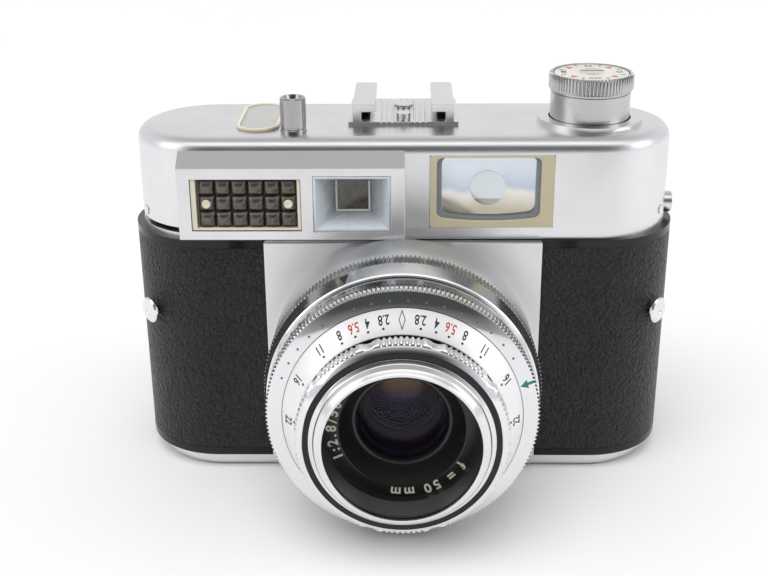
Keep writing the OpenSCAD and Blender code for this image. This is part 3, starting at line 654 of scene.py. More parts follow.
class FinishSettings(bpy.types.PropertyGroup):
    chrome: FloatVectorProperty(name="Chrome", description="Colour of the satin chrome",
                                subtype="COLOR", default=(0.80, 0.80, 0.81), min=0, max=1)
    satin: FloatProperty(name="Satin", description="Roughness of the satin chrome",
                         subtype="FACTOR", default=0.30, min=0, max=1)
    leather: FloatVectorProperty(name="Leather", description="Colour of the leatherette",
                                 subtype="COLOR", default=(0.01, 0.01, 0.011), min=0, max=1)
    grain: FloatProperty(name="Grain", description="Size of one pebble of the leatherette, in millimetres",
                         default=0.75, min=0.3, max=3)


class LensSettings(bpy.types.PropertyGroup):
    speed_teeth: IntProperty(name="Speed ring teeth", description="Milled teeth on the exposure ring",
                             default=200, min=60, max=260)
    aperture_teeth: IntProperty(name="Aperture ring teeth", description="Milled teeth on the aperture ring",
                                default=190, min=60, max=260)
    lobes: IntProperty(name="Grips", description="Ribbed grips round the focusing ring",
                       default=10, min=3, max=12)
    ribs: IntProperty(name="Rib pitches", description="Rib pitches in a full turn of the focusing ring",
                      default=120, min=60, max=240)
    numeral: FloatProperty(name="Numerals", description="Height of the numbers on the depth scale, in millimetres",
                           default=3.2, min=1, max=4)


class TopSettings(bpy.types.PropertyGroup):
    knob_ribs: IntProperty(name="Knob ribs", description="Ribs round the rewind knob's head",
                           default=72, min=24, max=120)
    dial_marks: IntProperty(name="Dial marks", description="Marks round the film reminder",
                            default=16, min=4, max=32)


class StageSettings(bpy.types.PropertyGroup):
    floor: FloatVectorProperty(name="Floor", description="Colour of the floor",
                               subtype="COLOR", default=(0.9, 0.9, 0.905), min=0, max=1)
    glow: FloatProperty(name="Surroundings", description="Brightness of the white surroundings",
                        default=0.95, min=0, max=4)
    key: FloatProperty(name="Daylight", description="Strength of the soft light from above, in watts per square metre",
                       default=1.3, min=0, max=20)
    fill: FloatProperty(name="Fill light", description="Power of each side light",
                        subtype="POWER", unit="POWER", default=0.8, min=0, max=100)


class Maker:
    """What every operator of this add-on shares."""
    bl_options = {"REGISTER", "UNDO"}

    def execute(self, context):
        self.make(context.scene)
        return {"FINISHED"}


# ---- Stage ----

class CAMERA_OT_stage(Maker, bpy.types.Operator):
    """Pale floor, soft lights and the camera"""
    bl_idname = "camera_looks.stage"
    bl_label = "Stage"

    def make(self, scene):
        settings = scene.camera_stage
        bm = bmesh.new()
        bmesh.ops.create_grid(bm, x_segments=8, y_segments=8, size=4.0)
        mesh = bpy.data.meshes.new("floor")
        bm.to_mesh(mesh)
        bm.free()
        floor = bpy.data.objects.new("floor", mesh)
        scene.collection.objects.link(floor)
        f = Finish("paper")
        cloud = f.noise(260.0, 2.0)
        colour = tuple(settings.floor)
        shade = f.mix(tuple(0.97 * c for c in colour), colour, cloud)
        mesh.materials.append(f.surface(shade, 0.0, 0.6 + cloud * 0.1, f.bump(f.noise(1.2), 0.02),
                                        specular_ior_level=0.2))
        self.surroundings(scene, settings.glow)
        self.daylight(scene, settings.key)
        self.light(scene, "left", (-0.75, -0.35, 0.42), (0.0, 0.0, 0.04), 0.5, 0.5, settings.fill)
        self.light(scene, "right", (0.8, -0.25, 0.38), (0.0, 0.0, 0.04), 0.45, 0.45, settings.fill)
        scene.view_settings.view_transform = "Standard"
        self.camera(scene)

    def surroundings(self, scene, glow):
        """White behind and at the sides, a soft bright strip high in front, dark behind the viewer."""
        sky = Finish("surroundings", bpy.data.worlds)
        parts = [sky.node("ShaderNodeSeparateXYZ", {}, {
            "Vector": sky.node("ShaderNodeTexCoord", output="Generated")}, i) for i in range(3)]
        climb = parts[2].math("ARCTAN2", parts[2], parts[1] * -1.0) * (1 / math.pi)
        arch = sky.ramp(climb, [(place, (tone_,) * 3) for place, tone_ in (
            (0.0, 0.2), (0.05, 0.05), (0.21, 0.04), (0.25, 0.2), (0.3, 0.75), (0.335, 1.0), (0.4, 0.95), (0.45, 0.35),
            (0.5, 0.3), (0.62, 0.34), (0.72, 0.48), (0.88, 0.56), (1.0, 0.6))])
        side = sky.node("ShaderNodeMapRange", {"interpolation_type": "SMOOTHSTEP"}, {
            "Value": parts[0].math("ABSOLUTE", parts[0]), "From Min": 0.35, "From Max": 0.9})
        colour = sky.mix(arch, (0.52, 0.525, 0.54), side)
        scene.world = sky.ended("ShaderNodeOutputWorld", sky.node("ShaderNodeBackground", {}, {
            "Color": colour, "Strength": glow * 1.65}))

    def daylight(self, scene, power):
        """Even soft light from high in front, a little to the left."""
        lamp = bpy.data.lights.new("daylight", "SUN")
        lamp.energy = power
        lamp.angle = math.radians(50)
        obj = bpy.data.objects.new("daylight", lamp)
        obj.rotation_euler = Vector((0.12, 0.36, -0.92)).to_track_quat("-Z", "Y").to_euler()
        obj.visible_glossy = False
        scene.collection.objects.link(obj)

    def light(self, scene, name, place, target, width, height, power):
        lamp = bpy.data.lights.new(name, "AREA")
        lamp.shape = "RECTANGLE"
        lamp.size = width
        lamp.size_y = height
        lamp.energy = power
        obj = bpy.data.objects.new(name, lamp)
        obj.location = place
        obj.rotation_euler = (Vector(target) - Vector(place)).to_track_quat("-Z", "Y").to_euler()
        scene.collection.objects.link(obj)

    def camera(self, scene):
        """Slightly above the camera and in front of it, almost on its axis."""
        pitch, yaw, roll = (math.radians(a) for a in (22.349, 1.192, -0.457))
        forward = Vector((-math.sin(yaw) * math.cos(pitch), math.cos(yaw) * math.cos(pitch), -math.sin(pitch)))
        level = Vector((math.cos(yaw), math.sin(yaw), 0))
        upward = level.cross(forward)
        right = level * math.cos(roll) + upward * math.sin(roll)
        top = upward * math.cos(roll) - level * math.sin(roll)
        lens = bpy.data.cameras.new("view")
        lens.sensor_width = 36.0
        lens.lens = 57.91
        lens.clip_start = 0.01
        lens.clip_end = 20.0
        viewer = bpy.data.objects.new("view", lens)
        turn = Matrix((right, top, -forward)).transposed().to_4x4()
        viewer.matrix_world = Matrix.Translation(Vector((1.113, -274.069, 151.717)) * MM) @ turn
        scene.collection.objects.link(viewer)
        scene.camera = viewer


# ---- Body ----

class CAMERA_OT_body(Maker, bpy.types.Operator):
    """Casting, leather, lens board and strap studs"""
    bl_idname = "camera_looks.body"
    bl_label = "Body"

    def make(self, scene):
        shell("casting_shell", "body_casting", "root", black_enamel())
        shell("leather_left", "front_leather_left", "root", leather(), soft=0.12)
        shell("leather_right", "front_leather_right", "root", leather(), soft=0.12)
        shell("lens_plate", "lens_board", "root", board_chrome(), soft=0.35)
        low, high = span("strap_studs")
        radius = (high.z - low.z) / 2
        middle = (high.z + low.z) / 2
        studs = []
        half_depth = -BODY_FRONT
        straight = span("front_leather_right")[1].x - half_depth
        for side in (1, -1):
            stud = turned([(0, 0.1), (1.6, 0.1), (1.6, 0.9), (radius - 0.25, 0.9), (radius, 1.1), (radius, 1.45),
                           (radius - 0.35, 1.78), (radius - 0.9, 1.86), (0.9, 1.86), (0.7, 1.7), (0, 1.7)],
                          steps=40, closed=False)
            way = Vector((side * math.cos(math.radians(42)), -math.sin(math.radians(42)), 0))
            start = Vector((side * straight, 0, middle)) + way * half_depth
            studs.append(moved(stud, Matrix.Translation(start * MM) @ way.to_track_quat("Z", "Y").to_matrix().to_4x4()))
        piece("strap_stud_pair", merged(*studs), "root", bright_chrome(), ("strap_studs",))


class CAMERA_OT_back(Maker, bpy.types.Operator):
    """Hinged back, its leather and the pins"""
    bl_idname = "camera_looks.back"
    bl_label = "Back"

    def make(self, scene):
        shell("door_shell", "back_door", "door", black_enamel())
        shell("door_skin", "door_leather", "door", leather(), soft=0.12)
        coat(plate_steel(), "hinge_pins", "tripod_bush", "film_gate")
        shell("eyepiece_shell", "eyepiece", "root", black_plastic(), soft=0.25)
        low, high = span("eyepiece_lens")
        radius = (high.x - low.x) / 2
        glass = turned([(0, 0), (radius, 0), (radius, 1.2), (radius * 0.6, 1.6), (0, 1.75)], steps=48, closed=False)
        turn = Matrix.Translation(Vector(((low.x + high.x) / 2, low.y, (low.z + high.z) / 2)) * MM)
        piece("eyepiece_glass", glass, "root", coated_glass_painted_reflection(), ("eyepiece_lens",),
              place=turn @ Matrix.Rotation(math.radians(-90), 4, "X"))


class CAMERA_OT_base(Maker, bpy.types.Operator):
    """Base plate, hinged flap, its key and the frame counter"""
    bl_idname = "camera_looks.base"
    bl_label = "Base"

    def make(self, scene):
        shell("base_shell", "base_plate", "root", satin_chrome())
        shell("flap_shell", "base_flap", "flap", satin_chrome())
        shell("key_shell", "latch_key", "key", knob_chrome(), soft=0.15)
        shell("counter_disc", "counter_dial", "counter", dial_cream(), soft=0.1)


# ---- Top ----

class CAMERA_OT_cover(Maker, bpy.types.Operator):
    """Top cover, its screws, the flash socket and the advance lever"""
    bl_idname = "camera_looks.cover"
    bl_label = "Top cover"

    def make(self, scene):
        shell("cover_shell", "top_cover", "root", satin_chrome())
        screws = []
        straight = (COVER_HIGH.x - COVER_LOW.x) / 2 + COVER_FRONT
        for side in (1, -1):
            head = turned([(0, -1.4), (0.75, -1.4), (0.75, 0), (1.1, 0), (1.1, 0.15), (0.85, 0.3), (0.4, 0.36),
                           (0, 0.36)], steps=28, closed=False)
            way = Vector((side * math.cos(SCREW_TURN), -math.sin(SCREW_TURN), 0))
            start = Vector((side * straight, 0, SEAM_Z + 4)) - way * COVER_FRONT
            turn = Matrix.Translation(start * MM) @ way.to_track_quat("Z", "Y").to_matrix().to_4x4()
            screws.append(moved(head, turn))
        piece("cover_screw_pair", merged(*screws), "root", satin_chrome(), ("cover_screws",))
        shell("flash_contact", "flash_socket", "root", satin_chrome(), soft=0.2)
        shell("lever_arm", "advance_lever", "lever", bright_chrome(), soft=0.2)


class CAMERA_OT_meter(Maker, bpy.types.Operator):
    """Hood, light cell with its lenslets, and the rangefinder well"""
    bl_idname = "camera_looks.meter"
    bl_label = "Light cell and rangefinder"

    def make(self, scene):
        shell("hood_shell", "meter_housing", "root", satin_chrome(), soft=0.3)
        self.cell()
        self.well()
        coat(cell_glass(), "rangefinder_window")

    def cell(self):
        low, high = span("selenium_cell")
        across, up = 6, 3
        left, right = low.x + 1.5, high.x - 0.9
        bottom, top = low.z + 0.6, high.z - 0.2
        face = low.y + 1.35
        wide, tall = (right - left) / across, (top - bottom) / up
        parts = [block((left - 0.3, face, bottom - 0.3), (right + 0.2, high.y, top))]
        for row in range(up):
            for column in range(across):
                middle = (left + wide * (column + 0.5), face, bottom + tall * (row + 0.5))
                place = Matrix.Translation(Vector(middle) * MM) @ Matrix.Rotation(math.radians(90), 4, "X")
                size = Matrix.Diagonal((wide * MM, tall * MM, 1.3 * MM, 1))
                parts.append(moved(self.lenslet(), place @ size))
        piece("cell_lenslets", merged(*parts), "root", cell_glass(), ("selenium_cell",), crease=60)
        rivets = []
        for x in (left + wide * 0.5, right - wide * 0.5):
            rivet = turned([(0, -0.4), (0.95, -0.4), (1.0, 0.62), (0.75, 0.95), (0.55, 0.85), (0, 0.85)], steps=24,
                           closed=False)
            place = Matrix.Translation(Vector((x, face - 0.55, (bottom + top) / 2)) * MM)
            rivets.append(moved(rivet, place @ Matrix.Rotation(math.radians(90), 4, "X")))
        piece("cell_rivets", merged(*rivets), "root", rim_cream(), crease=50)
        frame_bars = [block((low.x, low.y + 0.1, low.z), (low.x + 1.1, high.y, high.z)),
                      block((high.x - 0.7, low.y + 0.1, low.z), (high.x, high.y, high.z)),
                      block((low.x + 1.1, low.y + 0.1, low.z), (high.x - 0.7, high.y, low.z + 0.45))]
        piece("cell_frame", merged(*frame_bars), "root", rim_cream(), soft=0.1)

    def lenslet(self):
        """Pillow-shaped lens, one unit wide, tall and high."""
        bm = bmesh.new()
        bmesh.ops.create_grid(bm, x_segments=8, y_segments=8, size=0.5)
        for v in bm.verts:
            x, y = 2 * v.co.x, 2 * v.co.y
            v.co.z = math.sqrt(max((1 - x * x) * (1 - y * y), 0))
        back = bmesh.ops.extrude_face_region(bm, geom=bm.faces[:], use_keep_orig=True)
        bmesh.ops.translate(bm, vec=(0, 0, -0.3), verts=[g for g in back["geom"] if isinstance(g, bmesh.types.BMVert)])
        bmesh.ops.recalc_face_normals(bm, faces=bm.faces)
        return bm

    def well(self):
        """Four bright slopes from the hood's opening down to the small window."""
        low, high = span("rangefinder_well")
        eye_low, eye_high = span("rangefinder_window")
        bm = bmesh.new()
        corners = [bm.verts.new(Vector((x, low.y, z)) * MM)
                   for x, z in ((low.x, low.z), (high.x, low.z), (high.x, high.z), (low.x, high.z))]
        bm.faces.new(corners)
        bm.normal_update()
        bmesh.ops.inset_region(bm, faces=bm.faces[:], thickness=0.55 * MM, use_boundary=True, use_even_offset=True)
        bm.faces.ensure_lookup_table()
        inner = [f for f in bm.faces if all(abs(v.co.x - low.x * MM) > 0.3 * MM and abs(v.co.x - high.x * MM) > 0.3 * MM
                                            for v in f.verts)]
        sunk = bmesh.ops.extrude_face_region(bm, geom=inner)
        verts = [g for g in sunk["geom"] if isinstance(g, bmesh.types.BMVert)]
        middle = Vector(((low.x + high.x) / 2, 0, (low.z + high.z) / 2)) * MM
        for v in verts:
            right = v.co.x > middle.x
            upper = v.co.z > middle.z
            v.co = Vector((eye_high.x - 1 if right else eye_low.x + 1, eye_low.y - 0.05,
                           eye_high.z - 1 if upper else eye_low.z + 1)) * MM
        bmesh.ops.delete(bm, geom=[f for f in bm.faces if all(v in verts for v in f.verts)]
                         + [f for f in inner if f.is_valid], context="FACES_ONLY")
        bmesh.ops.remove_doubles(bm, verts=bm.verts, dist=0.001 * MM)
        bmesh.ops.recalc_face_normals(bm, faces=bm.faces)
        walls = piece("well_slopes", bm, "root", well_silver(), ("rangefinder_well",), crease=20)
        thick = walls.modifiers.new("wall", "SOLIDIFY")
        thick.thickness = 0.35 * MM
        thick.offset = -1
        left, right = eye_low.x + 1, eye_high.x - 1
        bottom, top = eye_low.z + 1, eye_high.z - 1
        near, far = eye_low.y - 0.5, eye_low.y
        bars = [block((left - 0.1, near, bottom), (left + 0.35, far, top)),
                block((right - 0.35, near, bottom), (right + 0.1, far, top)),
                block((left, near, bottom - 0.1), (right, far, bottom + 0.35))]
        piece("well_edge", merged(*bars), "root", scale_card(), soft=0.08)


def window_loop(bm, low, high, y, corner, sag=0.0):
    """Outline in a plane of constant y with rounded corners and a lower edge that bows down."""
    points = [bm.verts.new(Vector((x, y, z)) * MM)
              for x, z in ((low[0], low[1]), (high[0], low[1]), (high[0], high[1]), (low[0], high[1]))]
    old = set(bm.edges)
    bm.faces.new(points)
    bmesh.ops.bevel(bm, geom=points, offset=corner * MM, offset_type="OFFSET", segments=5, profile=0.5,
                    affect="VERTICES", clamp_overlap=True, material=-1)
    bmesh.ops.delete(bm, geom=bm.faces[:], context="FACES_ONLY")
    level = [e for e in bm.edges if e not in old and abs(e.verts[0].co.z - e.verts[1].co.z) < 0.01 * MM]
    bmesh.ops.subdivide_edges(bm, edges=level, cuts=SAG_CUTS)
    centre, half = (low[0] + high[0]) / 2 * MM, (high[0] - low[0]) / 2 * MM
    tall = (high[1] - low[1]) * MM
    verts = {v for e in bm.edges if e not in old for v in e.verts}
    for v in verts:
        lower = max(0.0, 1 - (v.co.z - low[1] * MM) / tall * 2)
        v.co.z -= sag * MM * lower * (1 - ((v.co.x - centre) / half) ** 2)


def window_pane(low, high, y, depth, corner):
    """Plate with rounded corners."""
    bm = bmesh.new()
    window_loop(bm, low, high, y, corner)
    bmesh.ops.edgeloop_fill(bm, edges=bm.edges[:])
    return pulled(bm, (0, depth, 0))


def window_frame(low, high, inner_low, inner_high, y, depth, corner, inner_corner, sag=0.0):
    """Frame between a rounded rectangle and an opening whose lower edge bows down."""
    bm = bmesh.new()
    window_loop(bm, low, high, y, corner)
    window_loop(bm, inner_low, inner_high, y, inner_corner, sag)
    bmesh.ops.bridge_loops(bm, edges=bm.edges[:])
    return pulled(bm, (0, depth, 0))


class CAMERA_OT_finder(Maker, bpy.types.Operator):
    """Viewfinder mask, its bezel and the glass with the rangefinder patch"""
    bl_idname = "camera_looks.finder"
    bl_label = "Viewfinder"

    def make(self, scene):
        low, high = span("viewfinder_frame")
        outer = (low.x, low.z), (high.x, high.z)
        opening = (low.x + 1.5, low.z + 2.3), (high.x - 2.9, high.z - 0.45)
        glass = (opening[0][0] + 1.1, opening[0][1] + 0.8), (opening[1][0] - 0.9, opening[1][1])
        mask = window_frame(*outer, *opening, low.y + 0.1, high.y - low.y - 0.2, 0.45, 1.3, sag=0.8)
        piece("finder_mask", mask, "root", ivory(), ("viewfinder_frame",), soft=0.12)
        around = (opening[0][0] - 0.3, opening[0][1] - 1.3), (opening[1][0] + 0.3, opening[1][1] + 0.3)
        bezel = window_frame(*around, *glass, low.y + 0.7, 1.2, 0.4, 1.4, sag=0.9)
        piece("finder_bezel", bezel, "root", bezel_grey(), soft=0.1)
        face_low = (glass[0][0] - 0.6, glass[0][1] - 1.4)
        face_high = (glass[1][0] + 0.6, glass[1][1] + 0.4)
        pane = window_pane(face_low, face_high, low.y + 1.9, 1.3, 0.6)
        piece("finder_pane", pane, "root", finder_glass(), ("viewfinder_lens",))
        middle = Vector(((glass[0][0] + glass[1][0]) / 2 - 0.2, low.y + 1.92, (glass[0][1] + glass[1][1]) / 2 - 0.9))
        patch = turned([(0, 0), (3.9, 0), (3.9, 0.12), (3.55, 0.16), (0, 0.16)], steps=64, closed=False)
        place = Matrix.Translation(middle * MM) @ Matrix.Rotation(math.radians(90), 4, "X")
        piece("finder_patch", patch, "root", patch_silver(), place=place)
        coat(silvered(), "rangefinder_mirror", "beam_splitter")


class CAMERA_OT_controls(Maker, bpy.types.Operator):
    """Release button, accessory shoe and the meter's window"""
    bl_idname = "camera_looks.controls"
    bl_label = "Top controls"

    def make(self, scene):
        low, high = span("release_button")
        x, y = (low.x + high.x) / 2, (low.y + high.y) / 2
        radius = 2.85
        bore = turned([(0, high.z - 5), (1.55, high.z - 5), (1.55, high.z - 0.9), (1.95, high.z - 0.25),
                       (2.05, high.z), (radius - 0.3, high.z), (radius, high.z - 0.3), (radius, high.z - 6.4),
                       (radius - 0.15, high.z - 6.5), (radius - 0.15, high.z - 6.8), (radius, high.z - 6.9),
                       (radius, TOP_Z - 5), (0, TOP_Z - 5)], steps=56, closed=False)
        piece("release_cap", bore, "release", shaded_chrome(), ("release_button",),
              place=upright(x, y))
        shell("shoe_shell", "accessory_shoe", "root", satin_chrome(), soft=0.22)
        self.springs()
        self.window()

    def springs(self):
        """Two bowed leaves under the shoe's rails."""
        low, high = span("accessory_shoe")
        middle, half = (low + high) / 2, (high - low) / 2
        leaves = []
        for side in (-1, 1):
            x = middle.x + side * (half.x - 3.45)
            leaf = block((x - 1.35, low.y + 1.2, TOP_Z + 0.85), (x + 1.35, high.y - 0.8, TOP_Z + 1.05))
            long = [e for e in leaf.edges if abs(e.verts[0].co.y - e.verts[1].co.y) > MM]
            bmesh.ops.subdivide_edges(leaf, edges=long, cuts=11)
            for v in leaf.verts:
                v.co.z += 1.8 * MM * max(0, 1 - ((v.co.y / MM - middle.y) / (half.y - 1)) ** 2)
            leaves.append(leaf)
        piece("shoe_springs", merged(*leaves), "root", blade_steel())

    def window(self):
        low, high = span("meter_window")
        x, y = (low.x + high.x) / 2, (low.y + high.y) / 2
        width, length = high.x - low.x, high.y - low.y
        rim = stadium(width, length)
        bmesh.ops.inset_region(rim, faces=rim.faces[:], thickness=0.8 * MM, use_boundary=True, use_even_offset=True)
        hole = min(rim.faces, key=lambda f: (f.calc_center_median().length, -f.calc_area()))
        bmesh.ops.delete(rim, geom=[hole], context="FACES_ONLY")
        pulled(rim, (0, 0, 0.7))
        piece("meter_rim", rim, "root", rim_cream(), ("meter_window",), soft=0.18, place=upright(x, y, TOP_Z))
        pane = pulled(stadium(width - 1.6, length - 1.6), (0, 0, 0.35))
        piece("meter_pane", pane, "root", window_glass(), soft=0.1, place=upright(x, y, TOP_Z))
        card = pulled(stadium(width - 2.6, length - 3.2), (0, 0, 0.2))
        piece("meter_card", card, "root", scale_card(), soft=0.05,
              place=upright(x, y, span("meter_needle")[0].z - 0.5))


class CAMERA_OT_knob(Maker, bpy.types.Operator):
    """Rewind knob with its ribs and the film reminder dial"""
    bl_idname = "camera_looks.knob"
    bl_label = "Rewind knob"

    def make(self, scene):
        ribs = scene.camera_top.knob_ribs
        top = KNOB_HIGH.z
        head = top - 3.8
        radius = (KNOB_HIGH.x - KNOB_LOW.x) / 2
        skirt = radius - 0.5
        outline = [(0, top - 0.9), (radius - 0.95, top - 0.9), (radius - 0.95, top - 0.15), (radius - 0.8, top),
                   (radius - 0.45, top), (radius, top - 0.4), (radius, head + 0.45), (radius - 0.3, head + 0.1),
                   (skirt - 0.25, head), (skirt - 0.25, head - 0.35), (skirt, head - 0.5), (skirt, TOP_Z - 0.9),
                   (skirt - 0.3, TOP_Z - 1.2), (skirt - 1.2, TOP_Z - 1.2), (skirt - 1.2, head - 1.0), (0, head - 1.0)]
        knob = milled(turned(outline, steps=ribs * TOOTH_STEPS, closed=False), ribs, 0.4, head + 0.3, top - 0.3,
                      radius - 0.5)
        shaft = rod(1.97, KNOB_LOW.z + 0.12, head - 0.9)
        piece("knob_head", merged(knob, shaft), "knob", knob_chrome(), ("rewind_knob",), crease=30,
              place=upright(KNOB_X, KNOB_Y))
        self.dial(scene.camera_top.dial_marks, radius - 1.15, top - 0.85)

    def dial(self, marks, radius, height):
        disc = turned([(0, 0), (radius, 0), (radius, 0.6), (radius - 0.25, 0.7), (0, 0.7)], steps=96, closed=False)
        piece("reminder_disc", disc, "reminder", dial_cream(), ("reminder_dial",),
              place=upright(KNOB_X, KNOB_Y, height))
        screw = turned([(0, 0.6), (3.0, 0.6), (3.0, 0.85), (2.75, 1.0), (0, 1.02)], steps=48, closed=False)
        slots = [block((-2.6, -0.28, 1.0), (2.6, 0.28, 1.04))]
        piece("reminder_screw", screw, "reminder", bright_chrome(),
              place=upright(KNOB_X, KNOB_Y, height))
        red, black = [], slots
        for i in range(marks):
            turn = 360 * i / marks
            if i % 4 == 2:
                bm = bmesh.new()
                bmesh.ops.create_cone(bm, cap_ends=True, segments=3, radius1=1.15, radius2=1.15, depth=0.03)
                red.append(wrapped(bm, radius - 1.9, 0.7, turn))
            elif i % 4 == 0:
                black.append(wrapped(words(("25", "50", "100", "200")[i // 4 % 4], 1.9), radius - 2.1, 0.71, turn))
            else:
                bar = block((-0.16, -0.6, 0), (0.16, 0.6, 0.03))
                bmesh.ops.scale(bar, vec=(1 / MM,) * 3, verts=bar.verts)
                black.append(wrapped(bar, radius - 1.2, 0.7, turn))
        piece("reminder_red_marks", merged(*red), "reminder", ink("red"),
              place=upright(KNOB_X, KNOB_Y, height))
        piece("reminder_black_marks", merged(*black), "reminder", ink("black"),
              place=upright(KNOB_X, KNOB_Y, height))
        coat(plate_steel(), "rewind_fork")


# ---- Lens ----

class CAMERA_OT_rings(Maker, bpy.types.Operator):
    """Shoulder, exposure ring and aperture ring"""
    bl_idname = "camera_looks.rings"
    bl_label = "Lens rings"

    def make(self, scene):
        settings = scene.camera_lens
        shell("lens_shoulder", "lens_collar", "root", shoulder_chrome(), crease=40)
        self.speed(settings.speed_teeth)
        self.aperture(settings.aperture_teeth)

    def speed(self, teeth):
        near = ahead("speed_ring")[0]
        radius = (span("speed_ring")[1].x - span("speed_ring")[0].x) / 2
        bore = radius - 3.05
        knurl, edge = near + 1.2, near + 9.65
        outline = [(bore, near), (radius - 0.8, near), (radius - 0.6, near + 0.2), (radius - 0.6, knurl),
                   (radius + 0.25, knurl + 0.2), (radius + 0.25, knurl + 4.1), (radius, knurl + 4.25),
                   (radius + 0.15, knurl + 4.45), (radius - 0.65, edge), (radius - 0.95, edge + 0.25),
                   (bore, edge + 0.25)]
        ring = milled(turned(outline, steps=teeth * TOOTH_STEPS), teeth, 0.42, knurl + 0.1, knurl + 4.2, radius - 0.1)
        piece("speed_ring_body", ring, "speed", ring_chrome(), ("speed_ring",), crease=30,
              place=LENS_AXIS)
        bm = bmesh.new()
        bmesh.ops.create_cone(bm, cap_ends=True, segments=3, radius1=1.5, radius2=1.5, depth=0.12)
        bmesh.ops.scale(bm, vec=(0.8, 1.4, 1), verts=bm.verts)
        mark = wrapped(bm, radius - 0.17, edge - 2.3, 114.1, slope=(-0.8, 4.0), clockwise=False)
        piece("speed_index", mark, "speed", ink("black"), place=LENS_AXIS)

    def aperture(self, teeth):
        near, far = ahead("aperture_ring")
        radius = (span("aperture_ring")[1].x - span("aperture_ring")[0].x) / 2
        bore, face = radius - 4.65, far + 1.25
        outline = [(bore, near), (radius - 0.6, near), (radius - 0.6, near + 0.2), (radius + 0.3, near + 0.2),
                   (radius + 0.4, near + 0.35), (radius + 0.4, near + 3.8), (radius + 0.1, near + 3.95),
                   (radius + 0.5, near + 4.15), (radius + 0.5, near + 5.3), (radius + 0.15, near + 5.45),
                   (radius + 0.5, near + 5.6), (radius + 0.5, face - 0.3), (radius + 0.1, face),
                   (radius + 0.06, face + 0.02),
                   (radius - 2.95, face + 0.8), (radius - 3.1, face + 0.65), (bore, face + 0.65)]
        ring = milled(turned(outline, steps=teeth * TOOTH_STEPS), teeth, 0.42, near + 4.0, face - 0.1, radius + 0.3)
        for part in ring.faces:
            part.material_index = int(part.calc_center_median().z > (face + 0.01) * MM)
        piece("aperture_ring_body", ring, "aperture", [ring_chrome(), mirror_chrome()],
              ("aperture_ring",), crease=30, place=LENS_AXIS)
        dots = []
        for step in range(-7, 10):
            dot = rod(0.27, 0, 0.04, steps=12)
            bmesh.ops.scale(dot, vec=(1 / MM,) * 3, verts=dot.verts)
            dots.append(wrapped(dot, radius - 1.7, face + 0.48, 87.4 + step * 8.05, slope=(-3.1, 0.8)))
        head = bmesh.new()
        bmesh.ops.create_cone(head, cap_ends=True, segments=3, radius1=1.1, radius2=1.1, depth=0.04)
        tail = block((-0.3, -1.9, -0.02), (0.3, -0.5, 0.02))
        bmesh.ops.scale(tail, vec=(1 / MM,) * 3, verts=tail.verts)
        for part in (head, tail):
            dots.append(wrapped(part, radius - 1.7, face + 0.48, 16.8, slope=(-3.1, 0.8), clockwise=False))
        piece("aperture_dots", merged(*dots), "aperture", ink("teal"), place=LENS_AXIS)
        speeds = []
        for i, number in enumerate(("500", "250", "125", "60", "30", "15", "8", "4", "2", "1", "B")):
            speeds.append(wrapped(words(number, 1.9), radius + 0.4, near + 2.1, 99 + i * 5.6, slope=(0, 1),
                                  clockwise=False))
        piece("speed_numbers", merged(*speeds), "aperture", ink("black"), place=LENS_AXIS)


class CAMERA_OT_depth(Maker, bpy.types.Operator):
    """Depth of field cone with its numbers"""
    bl_idname = "camera_looks.depth"
    bl_label = "Depth scale"

    def make(self, scene):
        near = ahead("aperture_ring")[1] + 0.2
        foot, rim = (24.8, near + 2.0), (21.2, near + 6.4)
        outline = [(20.5, near), (23.1, near), (23.1, near + 1.9), (24.7, near + 1.9), foot, rim,
                   (21.0, near + 6.5), (20.9, near + 6.3), (20.9, near + 2.6), (20.5, near + 2.6)]
        piece("depth_cone", turned(outline), "root", scale_metal(), ("depth_scale",), place=LENS_AXIS,
              crease=30)
        inner = turned([(15.2, near + 2.4), (20.9, near + 2.4), (20.9, near + 6.2), (20.5, near + 6.2),
                        (20.5, near + 2.8), (15.2, near + 2.8)])
        piece("depth_recess", inner, "root", black_matt(), place=LENS_AXIS)
        slope = (rim[0] - foot[0], rim[1] - foot[1])
        size = scene.camera_lens.numeral

        def on_cone(share, mark, degrees):
            return wrapped(mark, foot[0] + slope[0] * share, foot[1] + slope[1] * share, degrees, slope=slope,
                           clockwise=False)

        black, red = [], []
        stops = (("2.8", 9.0), ("4", 17.2), ("5.6", 24.4), ("8", 32.5), ("11", 45.0), ("16", 65.0), ("22", 88.5))
        for number, away in stops:
            for side in (-1, 1):
                mark = on_cone(0.4, words(number, size, 0.03, 1.0, 0.05, 0.6), 90 + side * away)
                (red if number == "5.6" else black).append(mark)
                dot = rod(0.27, 0, 0.04, steps=12)
                bmesh.ops.scale(dot, vec=(1 / MM,) * 3, verts=dot.verts)
                black.append(on_cone(0.76, dot, 90 + side * away * 0.98 + side * 0.8))
        gem = bmesh.new()
        bmesh.ops.create_circle(gem, cap_ends=True, radius=1.0, segments=4)
        bmesh.ops.inset_region(gem, faces=gem.faces[:], thickness=0.16, use_boundary=True, use_even_offset=True)
        hole = min(gem.faces, key=lambda f: f.calc_center_median().length)
        bmesh.ops.delete(gem, geom=[hole], context="FACES_ONLY")
        bmesh.ops.scale(gem, vec=(0.68, 2.35, 1), verts=gem.verts)
        rise = bmesh.ops.extrude_face_region(gem, geom=gem.faces[:], use_keep_orig=True)
        bmesh.ops.translate(gem, vec=(0, 0, 0.04), verts=[g for g in rise["geom"] if isinstance(g, bmesh.types.BMVert)])
        bmesh.ops.recalc_face_normals(gem, faces=gem.faces)
        black.append(on_cone(0.46, gem, 90))
        piece("depth_numbers", merged(*black), "root", ink("black"), place=LENS_AXIS)
        piece("depth_red_numbers", merged(*red), "root", ink("red"), place=LENS_AXIS)


